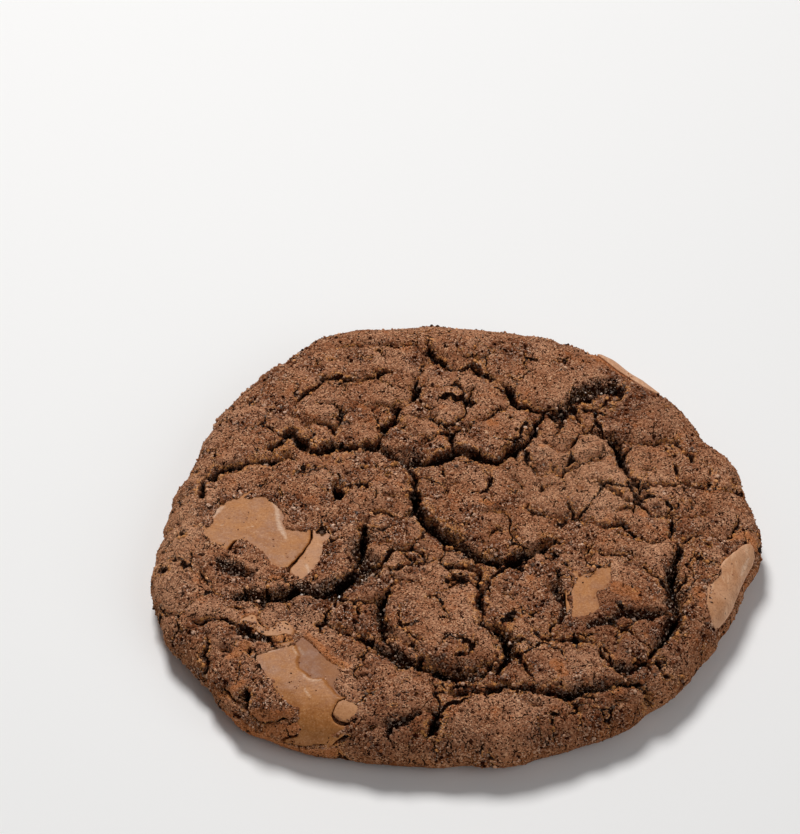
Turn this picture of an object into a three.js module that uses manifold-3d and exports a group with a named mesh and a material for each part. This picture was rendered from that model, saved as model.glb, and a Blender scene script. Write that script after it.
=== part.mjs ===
// A double chocolate chunk cookie lying flat on its base: one crackled dough disc with chocolate chunks set in it.
// Millimetres, +Z up, the origin on the flat base under the middle; -Y is the near side and +X the right.
import * as THREE from "three";
import { ImprovedNoise } from "three/addons/math/ImprovedNoise.js";
import { mergeVertices } from "three/addons/utils/BufferGeometryUtils.js";
import Module from "manifold-3d";

// Driving dimensions
const cookieRadius = 46.6;
const cookieHeight = 9.6; // base to the smooth crust, before mounds and cracks
const shoulderStart = 0.8; // share of the radius where the top begins to round over
const shoulderPull = 0.93; // how far out the top stays level before it drops
const bellyHeight = 4; // height of the widest line of the side
const baseShare = 0.95; // radius of the flat base as a share of the outline's
const waviness = 0.45; // small unevenness of the outline
const topRings = 41;
const baseRings = 9;
const ringStep = 6; // each ring of points outwards has this many more
const chunkGap = 0.35; // free space round a chunk in its pocket
const chunkProud = 0.15; // how far chocolate stands above the smooth crust
const pillowHeight = 0.9; // how far a plate of crust rises from its cracks to its middle
const pillowReach = 3.4;
const lipRound = 1.3; // how far a crack's lips round over
const sideRelief = 0.4; // share of the relief that the rounded side keeps

// How the outline swells out of or draws in from a circle: bearing and spread in degrees, reach in millimetres
const swells = {
  farLeftShoulder: { bearing: 114, spread: 17.5, reach: 2.7 },
  leftFlat: { bearing: 162.5, spread: 17.5, reach: -2.6 },
  leftFoot: { bearing: 204, spread: 16, reach: 1.9 },
  nearLeftBulge: { bearing: 234, spread: 15, reach: 3.1 },
  nearFlat: { bearing: 268.5, spread: 33, reach: -1.1 },
  rightShoulder: { bearing: 15, spread: 7.5, reach: 2.2 },
  edgeChunkBulge: { bearing: 357, spread: 11, reach: 3.4 },
  farRight: { bearing: 56, spread: 21, reach: 1.7 },
};

// Rounded lumps of dough: middle, half widths, turn in degrees and height
const mounds = {
  farLeft: { at: [-20.5, 28], half: [6, 8.5], turn: -35, rise: 1.1 },
  far: { at: [-10.5, 29.5], half: [7, 7], turn: 20, rise: 1.1 },
  left: { at: [-34, 16.5], half: [7, 6.5], turn: 20, rise: 1.3 },
  middleLeft: { at: [-13, 8.5], half: [8, 8.5], turn: 0, rise: 1.2 },
  besideLeftChunk: { at: [-23.5, 5.5], half: [7, 8.5], turn: 25, rise: 1.5 },
  middle: { at: [4.5, 7.5], half: [9, 8.5], turn: 0, rise: 1.4 },
  farMiddle: { at: [7.5, 20], half: [8.5, 7], turn: 10, rise: 1.2 },
  farCentre: { at: [3, 29.5], half: [8.5, 6], turn: 0, rise: 1.1 },
  farRight: { at: [15, 31], half: [8, 7], turn: 0, rise: 1.2 },
  rightBoulder: { at: [29.5, 25], half: [10, 8.5], turn: -15, rise: 2.1 },
  rightPlate: { at: [21.5, 18], half: [7.5, 7.5], turn: 0, rise: 0.9 },
  lowerPlate: { at: [25, 8.5], half: [7, 7], turn: 0, rise: 0.8 },
  rightRim: { at: [43, 10], half: [6, 9], turn: 0, rise: 0.9 },
  farRim: { at: [-2, 43], half: [22, 6], turn: 0, rise: 1.7 },
  nearBoulder: { at: [-2.5, -21], half: [9.5, 11], turn: 15, rise: 2.1 },
  nearRight: { at: [16, -30.5], half: [10, 6.5], turn: 0, rise: 1.9 },
  besideRightChunk: { at: [28, -17], half: [6, 5.5], turn: 0, rise: 1.5 },
  lowerLeft: { at: [-9, -5], half: [6.5, 6], turn: 0, rise: 1.0 },
};

// Cracks between the plates of crust: a few points of each route, the width between its lips and its depth
const cracks = {
  farRing: {
    route: [[-19, 40.3], [-11, 41], [-3.4, 40.8], [-2, 37], [5, 34.3], [9.5, 30.8], [11.5, 26.8], [17.5, 24.4]],
    width: 2.4,
    depth: 2.6,
  },
  farLeftPlate: {
    route: [[-26, 25.5], [-23, 30], [-20, 32.7], [-15.5, 31.8], [-11.5, 34.2], [-5, 34]],
    width: 1.8,
    depth: 1.8,
  },
  farDrop: {
    route: [[-3.6, 36], [-4.8, 31.5], [-5.6, 28], [-8.7, 25.4], [-10.2, 21.5], [-11, 18]],
    width: 2.2,
    depth: 2.8,
  },
  crossLeft: {
    route: [[-31, 18.5], [-28.5, 17], [-26.3, 19], [-24, 16.4], [-21, 15], [-15, 16.2], [-11, 16.8], [-8.8, 14]],
    width: 2.5,
    depth: 3.2,
  },
  crossRight: {
    route: [[-8.8, 14], [-5, 12.2], [1.5, 14.2], [5.5, 13.6], [8.3, 13], [11, 15], [13.5, 18.3], [15.2, 22.6]],
    width: 2.4,
    depth: 3.1,
  },
  leftCrescent: {
    route: [[-40, 5.5], [-38.5, 9], [-35, 11.8], [-30, 12.6], [-25, 13.4]],
    width: 2.6,
    depth: 2.6,
  },
  centre: {
    route: [[-6.3, 11.9], [-5.3, 8.5], [-5, 1.2], [-2, -2.1], [1, -5.8], [4.5, -9.1], [10, -9], [16, -5.3]],
    width: 2.6,
    depth: 3.2,
  },
  nearTrough: {
    route: [[-13.2, 1], [-13.8, -5.2], [-15.2, -10.8], [-19, -15.3], [-24.5, -16], [-31, -19.3]],
    width: 5,
    depth: 2.9,
  },
  nearLeft: {
    route: [[-6.5, -12], [-10.6, -15.8], [-11.6, -19.8], [-9.6, -25], [-6.8, -29.3], [-2, -31.4], [1, -34.2]],
    width: 2.4,
    depth: 2.8,
  },
  nearDrop: {
    route: [[0.8, -10], [4.2, -12.4], [5, -18.2], [7.2, -23.4], [8.3, -28.4], [7, -36.6]],
    width: 2.6,
    depth: 3.1,
  },
  nearRing: {
    route: [[-9, -34.5], [-3, -37], [6, -36.5], [12, -36], [17.5, -37.5], [27.5, -35.4]],
    width: 2.2,
    depth: 2.5,
  },
  rightRing: {
    route: [[36.4, 2], [35.6, -3.4], [36.2, -10], [36, -19.5], [34.3, -24.4], [29, -30.2], [23.7, -30]],
    width: 1.9,
    depth: 2.1,
  },
  boulderLip: { route: [[19.5, 26], [23.5, 28.4], [26.8, 30.6], [30, 30.8]], width: 2.4, depth: 2.4 },
  plateEdge: {
    route: [[21.2, 23.8], [23, 20.8], [26.6, 18.2], [28.2, 15], [29.2, 11.2], [31, 6], [33.6, 0.4]],
    width: 1.9,
    depth: 2.2,
  },
  underBoulder: { route: [[28, 18], [33, 16.8], [37, 18], [39.6, 15.6], [39.8, 12.4]], width: 1.5, depth: 1.5 },
  rightFissure: { route: [[12.4, 5], [13, 2.4], [19, 1.2], [24, -1.3], [28.4, -2], [35.4, -5]], width: 1.6, depth: 1.7 },
  nearNotch: { route: [[-1.8, -39.6], [-2.6, -42.4], [-3.6, -45]], width: 1.8, depth: 1.7 },
};

// Chocolate chunks: the outline seen from above, the depth of the underside, and the colour.
// An outline that runs past the dough's is cut off by the rounded side, where the chocolate shows.
const chunks = {
  chunk_left: {
    outline: [[-39, -3.5], [-37, 1], [-34.5, 4.3], [-30.5, 4.9], [-27, 2], [-26, -2.6], [-23.1, -3.3],
      [-24.9, -9.6], [-27.6, -11.2], [-30.2, -7.6], [-33.2, -5.6], [-35.8, -7.4]],
    underside: 4.2,
    colour: 0xae7d59,
  },
  chunk_left_flake: {
    outline: [[-21.7, -3.6], [-19.4, -3.4], [-20, -8], [-21.4, -12], [-23, -14], [-25, -12], [-23, -8]],
    underside: 4.8,
    colour: 0xa87852,
  },
  chunk_near: {
    outline: [[-30.2, -28.8], [-25, -27.2], [-23.2, -25.4], [-19.6, -28.4], [-16.6, -33], [-17.6, -37],
      [-18, -40.5], [-19, -52], [-27, -52], [-25, -42], [-26.4, -37], [-29, -32.5]],
    underside: 2.6,
    colour: 0x9a6845,
  },
  chunk_near_flake: {
    outline: [[-17, -38.2], [-14.6, -37.2], [-13.4, -38.6], [-14.6, -41], [-16.4, -41.4]],
    underside: 4.4,
    colour: 0xa06f4d,
  },
  chunk_small: {
    outline: [[-32.4, -21.9], [-29.6, -20.2], [-25.6, -20.8], [-23.4, -23], [-25.6, -25], [-28.8, -24.6]],
    underside: 5.2,
    colour: 0x9a6d4c,
  },
  chunk_right: {
    outline: [[18.6, -15.6], [21, -12.8], [25.8, -10.6], [25.3, -14.4], [23.2, -16.8], [22.8, -20.2],
      [20, -22.2], [18.3, -21.4]],
    underside: 4.6,
    colour: 0xaa7651,
  },
  chunk_edge: {
    outline: [[47.6, -3.2], [43.8, -7.6], [41, -11.8], [39.8, -15.4], [41, -20.2], [47, -24], [56, -14], [56, -4]],
    underside: 1.6,
    colour: 0xab7e5d,
  },
  chunk_far: {
    outline: [[24.8, 39.4], [27.4, 37.6], [30.4, 34.9], [33.6, 32.4], [38, 37], [30, 46]],
    underside: 2.4,
    colour: 0x9e7050,
  },
};

const wasm = await Module();
wasm.setup();
const perlin = new ImprovedNoise();

const radians = THREE.MathUtils.degToRad;
const smooth = THREE.MathUtils.smoothstep;

function angleBetween(a, b) {
  return Math.abs(((a - b + 540) % 360) - 180);
}

function noise(x, y, grain, seed) {
  return perlin.noise(x / grain, y / grain, seed);
}

// The outline's radius at a bearing in degrees
function outlineRadius(bearing) {
  let radius = cookieRadius;
  for (const { bearing: middle, spread, reach } of Object.values(swells)) {
    radius += reach * Math.exp(-((angleBetween(bearing, middle) / spread) ** 2));
  }
  const around = radians(bearing);
  return radius + waviness * noise(Math.cos(around), Math.sin(around), 0.14, 3.1);
}

// Half of the cookie's section, as share of the radius against height, from the middle of the top to the foot
function crustSection() {
  const section = new THREE.Path();
  section.moveTo(0, cookieHeight);
  section.lineTo(shoulderStart, cookieHeight);
  section.bezierCurveTo(shoulderPull, cookieHeight, 1, cookieHeight * 0.8, 1, bellyHeight);
  section.quadraticCurveTo(1, 0.8, baseShare, 0);
  return section;
}

// The section's points an even distance apart along the crust, as shares of the radius and heights
function evenSection(path, count) {
  const fine = path.getSpacedPoints(400).map((p) => new THREE.Vector2(p.x * cookieRadius, p.y));
  return new THREE.SplineCurve(fine).getSpacedPoints(count).map((p) => [p.x / cookieRadius, p.y]);
}

function crackCurve({ route }) {
  return new THREE.CatmullRomCurve3(route.map(([x, y]) => new THREE.Vector3(x, y, 0)));
}

const crackSamples = Object.values(cracks).map((crack) => {
  const curve = crackCurve(crack);
  const count = Math.ceil(curve.getLength() / 0.4);
  const points = curve.getSpacedPoints(count);
  // a crack thins out towards both of its ends
  const fade = points.map((_, i) => Math.min(1, 0.35 + (2.6 * Math.min(i, count - i)) / count));
  return { ...crack, points, fade };
});

// The nearest point of each crack that reaches a place, with its distance
function nearbyCracks(x, y) {
  const found = [];
  for (const { points, fade, width, depth } of crackSamples) {
    let best = Infinity;
    let index = 0;
    points.forEach((p, i) => {
      const d = (p.x - x) ** 2 + (p.y - y) ** 2;
      if (d < best) [best, index] = [d, i];
    });
    found.push({ distance: Math.sqrt(best), point: points[index], width, depth: depth * fade[index] });
  }
  return found;
}

function moundRise(x, y) {
  let rise = 0;
  for (const { at, half, turn, rise: top } of Object.values(mounds)) {
    const offset = new THREE.Vector2(x - at[0], y - at[1]).rotateAround(new THREE.Vector2(), -radians(turn));
    const reach = (offset.x / half[0]) ** 2 + (offset.y / half[1]) ** 2;
    if (reach < 1) rise += top * (1 - reach) ** 1.3;
  }
  return rise;
}

// How far the real crust stands above the smooth one, and how far its cracks cut in
function crustRelief(x, y) {
  const near = nearbyCracks(x, y);
  const gap = Math.min(...near.map((c) => c.distance));
  const groove = Math.max(...near.map((c) => c.depth * (1 - smooth(c.distance, 0, c.width / 2 + lipRound))));
  const pillow = pillowHeight * (1 - Math.exp(-gap / pillowReach) - 0.5);
  const lumps = 0.55 * noise(x, y, 6.5, 0.4) + 0.35 * noise(x, y, 2.8, 5.7);
  return moundRise(x, y) * smooth(gap, 0, 2.2) + pillow + lumps - groove;
}

// One band of triangles between two rings of vertex numbers, whatever their counts
function bandBetween(inner, outer) {
  const faces = [];
  let i = 0;
  let j = 0;
  while (i < inner.length || j < outer.length) {
    const stepInner = j === outer.length || (i < inner.length && (i + 1) * outer.length < (j + 1) * inner.length);
    const a = inner[i % inner.length];
    const b = outer[j % outer.length];
    if (stepInner) faces.push(a, b, inner[++i % inner.length]);
    else faces.push(a, b, outer[++j % outer.length]);
  }
  return faces.filter((_, k) => new Set(faces.slice(k - (k % 3), k - (k % 3) + 3)).size === 3);
}

// A disc solid built of rings of points, whose places a function gives by ring and bearing
function ringSolid(pointAt) {
  const positions = [];
  const rings = [];
  const ringOf = (count, place) =>
    Array.from({ length: count }, (_, k) => {
      positions.push(...place((360 * k) / count));
      return positions.length / 3 - 1;
    });
  const top = evenSection(crustSection(), topRings);
  top.forEach(([share, height], i) => rings.push(ringOf(Math.max(1, ringStep * i), (b) => pointAt(share, height, b))));
  for (let i = baseRings - 1; i >= 0; i--) {
    const share = (baseShare * i) / baseRings;
    rings.push(ringOf(Math.max(1, ringStep * i), (b) => pointAt(share, 0, b)));
  }
  const geometry = new THREE.BufferGeometry();
  geometry.setAttribute("position", new THREE.Float32BufferAttribute(positions, 3));
  geometry.setIndex(rings.slice(1).flatMap((ring, i) => bandBetween(rings[i], ring)));
  return geometry;
}

function smoothPoint(share, height, bearing, lift = 0) {
  const radius = share * (outlineRadius(bearing) + lift);
  const z = height > 0 ? height + lift : 0;
  return [radius * Math.cos(radians(bearing)), radius * Math.sin(radians(bearing)), z];
}

// A point of the real crust: the smooth one's, raised or lowered, or moved in or out where it is on the side
function crustPoint(share, height, bearing) {
  const [x, y, z] = smoothPoint(share, height, bearing);
  if (z === 0) return [x, y, z];
  const relief = crustRelief(x, y);
  const upright = smooth(height, bellyHeight, cookieHeight);
  const outwards = (1 - upright) * relief * sideRelief;
  const rise = Math.max(height + relief * upright, 0.4);
  return [x + outwards * Math.cos(radians(bearing)), y + outwards * Math.sin(radians(bearing)), rise];
}

function solidFrom(geometry) {
  const bare = geometry.clone();
  bare.deleteAttribute("normal");
  bare.deleteAttribute("uv");
  const merged = mergeVertices(bare, 1e-4);
  const mesh = new wasm.Mesh({
    numProp: 3,
    vertProperties: merged.attributes.position.array,
    triVerts: new Uint32Array(merged.index.array),
  });
  return new wasm.Manifold(mesh);
}

function geometryFrom(solid) {
  const { vertProperties, triVerts } = solid.getMesh();
  const geometry = new THREE.BufferGeometry();
  geometry.setAttribute("position", new THREE.BufferAttribute(vertProperties, 3));
  geometry.setIndex(new THREE.BufferAttribute(triVerts, 1));
  geometry.computeVertexNormals();
  return geometry;
}

// An upright column with a chunk's outline, grown outwards by a margin, from a floor to above the cookie
function column(outline, margin, floor) {
  const curve = new THREE.CatmullRomCurve3(outline.map(([x, y]) => new THREE.Vector3(x, y, 0)), true, "catmullrom", 0.35);
  const points = curve.getSpacedPoints(outline.length * 3).slice(0, -1);
  if (THREE.ShapeUtils.isClockWise(points)) points.reverse();
  const grown = points.map((p, i) => {
    const along = points[(i + 1) % points.length].clone().sub(points.at(i - 1)).normalize();
    return new THREE.Vector2(p.x + along.y * margin, p.y - along.x * margin);
  });
  const block = new THREE.ExtrudeGeometry(new THREE.Shape(grown), { depth: 2 * cookieHeight, bevelEnabled: false });
  block.translate(0, 0, floor);
  return solidFrom(block);
}

const smoothBody = solidFrom(ringSolid((share, height, bearing) => smoothPoint(share, height, bearing, chunkProud)));
let dough = solidFrom(ringSolid(crustPoint));

const cookie = new THREE.Group();
for (const [name, { outline, underside, colour }] of Object.entries(chunks)) {
  const chunk = column(outline, 0, underside).intersect(smoothBody);
  dough = dough.subtract(column(outline, chunkGap, underside - chunkGap));
  const chocolate = new THREE.MeshStandardMaterial({ color: colour, roughness: 0.45, metalness: 0 });
  const mesh = new THREE.Mesh(geometryFrom(chunk), chocolate);
  mesh.name = name;
  cookie.add(mesh);
}

const crust = new THREE.MeshStandardMaterial({ color: 0x744d36, roughness: 0.85, metalness: 0 });
const doughMesh = new THREE.Mesh(geometryFrom(dough), crust);
doughMesh.name = "dough";
cookie.add(doughMesh);

export default cookie;
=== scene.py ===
import math

import bmesh
import bpy
import numpy as np
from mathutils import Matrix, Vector, geometry


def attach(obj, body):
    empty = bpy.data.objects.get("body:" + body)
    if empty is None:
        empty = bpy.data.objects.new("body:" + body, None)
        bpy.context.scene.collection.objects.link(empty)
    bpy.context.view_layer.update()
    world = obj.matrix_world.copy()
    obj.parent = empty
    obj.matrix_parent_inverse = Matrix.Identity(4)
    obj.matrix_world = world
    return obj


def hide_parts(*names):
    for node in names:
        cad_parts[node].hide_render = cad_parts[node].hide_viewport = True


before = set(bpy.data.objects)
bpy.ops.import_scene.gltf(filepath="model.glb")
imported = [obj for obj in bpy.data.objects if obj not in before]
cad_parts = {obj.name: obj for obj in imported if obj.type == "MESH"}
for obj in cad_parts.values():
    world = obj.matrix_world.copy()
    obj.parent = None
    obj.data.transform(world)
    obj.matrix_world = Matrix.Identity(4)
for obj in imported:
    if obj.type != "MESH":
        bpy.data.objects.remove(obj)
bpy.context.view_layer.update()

mm = 0.001


view = {  # it looks down on the lying cookie as the photograph does
    "place": (-7.897, -347.286, 365.625),  # mm
    "pitch": 46.1245,  # degrees up from straight down
    "lens": 133.81,
    "sensor": 36,
}


def addCamera():
    lens = bpy.data.cameras.new("camera")
    lens.lens = view["lens"]
    lens.sensor_width = view["sensor"]
    camera = bpy.data.objects.new("camera", lens)
    camera.location = Vector(view["place"]) * mm
    camera.rotation_euler = (math.radians(view["pitch"]), 0, 0)
    bpy.context.scene.collection.objects.link(camera)
    bpy.context.scene.camera = camera
    print("camera is in place")


def pick(sockets, key):
    shown = [s for s in sockets if s.enabled]
    return shown[key] if isinstance(key, int) else next(s for s in shown if s.name == key)


class Wire:
    # one socket of a material or of geometry nodes
    def __init__(self, tree, socket=None):
        self.tree = tree
        self.socket = socket

    def node(self, kind, settings=None, inputs=None, output=0):
        made = self.tree.nodes.new(kind)
        for name, value in (settings or {}).items():
            setattr(made, name, value)
        for name, value in (inputs or {}).items():
            socket = pick(made.inputs, name)
            if isinstance(value, Wire):
                self.tree.links.new(value.socket, socket)
            else:
                socket.default_value = value
        return Wire(self.tree, pick(made.outputs, output))

    def math(self, operation, *values):
        return self.node("ShaderNodeMath", {"operation": operation}, dict(enumerate(values)))

    def __add__(self, other):
        return self.math("ADD", self, other)

    def __radd__(self, other):
        return self.math("ADD", other, self)

    def __sub__(self, other):
        return self.math("SUBTRACT", self, other)

    def __rsub__(self, other):
        return self.math("SUBTRACT", other, self)

    def __mul__(self, other):
        return self.math("MULTIPLY", self, other)

    def __rmul__(self, other):
        return self.math("MULTIPLY", other, self)

    def __truediv__(self, other):
        return self.math("DIVIDE", self, other)

    def __pow__(self, power):
        return self.math("POWER", self, power)

    def least(self, other):
        return self.math("MINIMUM", self, other)

    def most(self, other):
        return self.math("MAXIMUM", self, other)

    def exponent(self):
        return self.math("EXPONENT", self)

    def floor(self):
        return self.math("FLOOR", self)

    def vector(self, operation, other):
        return self.node("ShaderNodeVectorMath", {"operation": operation}, {0: self, 1: other})

    def length(self):
        return self.node("ShaderNodeVectorMath", {"operation": "LENGTH"}, {0: self}, "Value")

    def scaled(self, factor):
        return self.node("ShaderNodeVectorMath", {"operation": "SCALE"}, {0: self, "Scale": factor})

    def step(self, low, high, start=0.0, end=1.0):
        # eases from start at low to end at high
        values = {"Value": self, "From Min": low, "From Max": high, "To Min": start, "To Max": end}
        return self.node("ShaderNodeMapRange", {"interpolation_type": "SMOOTHSTEP"}, values)

    def mix(self, a, b):
        # from number a to number b where this mask is 1
        return self.node("ShaderNodeMix", {"data_type": "FLOAT"}, {"Factor": self, "A": a, "B": b})

    def blend(self, a, b):
        # the same for colours
        return self.node("ShaderNodeMix", {"data_type": "RGBA"}, {"Factor": self, "A": a, "B": b})

    def noise(self, size, detail=0.0, roughness=0.5, colour=False):
        values = {"Vector": self, "Scale": 1 / size, "Detail": detail, "Roughness": roughness}
        return self.node("ShaderNodeTexNoise", {}, values, "Color" if colour else "Fac")

    def cells(self, size, feature="F1", output="Distance"):
        values = {"Vector": self, "Scale": 1 / size}
        return self.node("ShaderNodeTexVoronoi", {"feature": feature}, values, output)

    def part(self, axis):
        return self.node("ShaderNodeSeparateXYZ", {}, {"Vector": self}, axis)

    def shaken(self, size, reach, detail=1.0):
        # the same place, moved about by a noise
        sway = self.noise(size, detail, 0.6, True).vector("SUBTRACT", (0.5, 0.5, 0.5))
        return self.vector("ADD", sway.scaled(2 * reach))


def srgb(red, green, blue):
    def linear(v):
        v /= 255
        return v / 12.92 if v < 0.04045 else ((v + 0.055) / 1.055) ** 2.4
    return (linear(red), linear(green), linear(blue), 1)


def newPiece(name, mesh):
    piece = bpy.data.objects.new(name, mesh)
    bpy.context.scene.collection.objects.link(piece)
    return piece


def meshFrom(name, shape):
    # a mesh from a bmesh, which is then let go
    mesh = bpy.data.meshes.new(name)
    shape.to_mesh(mesh)
    shape.free()
    return mesh


def places(mesh):
    flat = np.empty(len(mesh.vertices) * 3, np.float32)
    mesh.vertices.foreach_get("co", flat)
    return flat.reshape(-1, 3).astype(float)


def setPlaces(mesh, points):
    mesh.vertices.foreach_set("co", points.astype(np.float32).ravel())
    mesh.update()


def storeOnPoints(mesh, name, values):
    kind, field = ("FLOAT", "value") if values.ndim == 1 else ("FLOAT_VECTOR", "vector")
    data = mesh.attributes.new(name, kind, "POINT").data
    data.foreach_set(field, values.astype(np.float32).ravel())


def applyModifiers(piece):
    bpy.context.view_layer.update()
    shown = piece.evaluated_get(bpy.context.evaluated_depsgraph_get())
    mesh = bpy.data.meshes.new_from_object(shown)
    piece.modifiers.clear()
    old = piece.data
    piece.data = mesh
    mesh.name = piece.name
    bpy.data.meshes.remove(old)


def smoothShaded(piece):
    piece.data.polygons.foreach_set("use_smooth", [True] * len(piece.data.polygons))


def nodesOn(piece, name):
    # geometry nodes on a piece: the mesh that comes in, and the call that takes the one that goes out
    tree = bpy.data.node_groups.new(name, "GeometryNodeTree")
    tree.interface.new_socket("Geometry", in_out="INPUT", socket_type="NodeSocketGeometry")
    tree.interface.new_socket("Geometry", in_out="OUTPUT", socket_type="NodeSocketGeometry")
    start = Wire(tree, tree.nodes.new("NodeGroupInput").outputs[0])
    piece.modifiers.new(name, "NODES").node_group = tree

    def close(result):
        tree.links.new(result.socket, tree.nodes.new("NodeGroupOutput").inputs[0])
    return start, close


def attribute(wire, name, kind="FLOAT"):
    return wire.node("GeometryNodeInputNamedAttribute", {"data_type": kind}, {"Name": name})


def stored(shape, name, value, kind="FLOAT"):
    settings = {"data_type": kind, "domain": "POINT"}
    inputs = {"Geometry": shape, "Name": name, "Value": value}
    return shape.node("GeometryNodeStoreNamedAttribute", settings, inputs)


def moved(start, distance):
    # the mesh with its points moved along their normals, distance in mm
    normal = start.node("GeometryNodeInputNormal", {}, {}, "Normal")
    inputs = {"Geometry": start, "Offset": normal.scaled(distance * mm)}
    return start.node("GeometryNodeSetPosition", {}, inputs)


def placeInMm(start):
    return start.node("GeometryNodeInputPosition").scaled(1 / mm)


cookie = {  # the smooth cookie, before any crack, in mm
    "radius": 46.6,
    "height": 9.6,
    "shoulder": (0.8, 0.93),  # shares of the radius where it starts to bend and where the bend pulls to
    "shoulderDrop": 7.68,  # height that the bend comes down to
    "belly": 4.0,
    "foot": (1.8, 0.24),  # heights that the bend under the belly pulls to
    "baseShare": 0.95,
    "steps": {"top": 30, "shoulder": 60, "foot": 40, "base": 30},
    # bearing, spread (degrees) and reach of each swell of the outline
    "swells": [(114, 17.5, 2.7), (162.5, 17.5, -2.6), (204, 16, 1.9), (234, 15, 3.1),
               (268.5, 33, -1.1), (15, 7.5, 2.2), (357, 11, 3.4), (56, 21, 1.7)],
    "waves": [(13, 0.22, 0.4), (19, 0.16, 2.1), (29, 0.12, 4.4), (47, 0.08, 1.3)],  # count, reach, start
}

# rounded lumps: middle, half widths, turn in degrees, rise
mounds = [
    (-20.5, 28, 6, 8.5, -35, 1.1), (-10.5, 29.5, 7, 7, 20, 1.1), (-34, 16.5, 7, 6.5, 20, 1.3),
    (-13, 8.5, 8, 8.5, 0, 1.2), (-23.5, 5.5, 7, 8.5, 25, 1.5), (4.5, 7.5, 9, 8.5, 0, 1.4),
    (7.5, 20, 8.5, 7, 10, 1.2), (3, 29.5, 8.5, 6, 0, 1.1), (15, 31, 8, 7, 0, 1.2),
    (29.5, 25, 10, 8.5, -15, 2.1), (21.5, 18, 7.5, 7.5, 0, 0.9), (25, 8.5, 7, 7, 0, 0.8),
    (43, 10, 6, 9, 0, 0.9), (-2, 43, 22, 6, 0, 1.7), (-2.5, -21, 9.5, 11, 15, 2.1),
    (16, -30.5, 10, 6.5, 0, 1.9), (28, -17, 6, 5.5, 0, 1.5), (-9, -5, 6.5, 6, 0, 1.0),
]

# flat plates where the crust has stayed whole, with how whole it is instead of the rise
plates = [
    (19, 17, 7, 5.5, 0, 1), (25, 10, 7, 7, 0, 1), (16.5, 6, 6, 5, 0, 1), (26, 2.5, 7, 4, 0, 1),
    (34, 11, 6, 7, 0, 1), (-20, 28, 6, 8, -35, 1), (8, 22, 6, 5, 0, 1), (16, 31, 8, 6, 0, 0.8),
    (5, 6, 7, 5, 0, 0.8), (18, -29, 9, 5, 0, 0.9), (0, -41, 24, 5, 0, 0.7), (-44, -5, 5, 18, 0, 0.9),
    (-2, 44, 28, 4, 0, 0.8), (45, 8, 5, 11, 0, 1), (-30, 8, 5, 4, 0, 0.7), (-10, 29, 6, 5, 0, 0.8),
    (3, 29, 7, 4, 0, 0.8), (-2, -20, 7, 9, 15, 0.7), (32, -7, 5, 4, 0, 0.9), (12, -2, 6, 3, 0, 0.7),
]

# patches painted darker or, below 0, paler, in the same terms: partly browner crumb, partly painted shade
# and painted light
browned = [
    (29.5, 26, 11, 9, -15, 0.9), (4, -32.5, 17, 5, 0, 0.9), (25, -24, 12, 11, 0, 1.0),
    (-9, -42, 9, 6, 0, 0.8), (22, -40, 15, 6, 20, 0.8), (-22, -18, 12, 5, 0, 0.5),
    (1, -6, 9, 5, -30, 0.6), (38, -26, 8, 11, -30, 0.6), (23, 9, 15, 13, 0, -1.0),
    (-43, 0, 7, 22, 0, -1.0),
]
moundFall = 1.3  # how such a shape falls off to its edge

seenLevel = 9.0  # mm, the level of the chocolate, on which all routes and outlines are drawn as they show
farDepth = 40  # mm from the near to the far side, over which the sight line gives way to straight down

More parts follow.
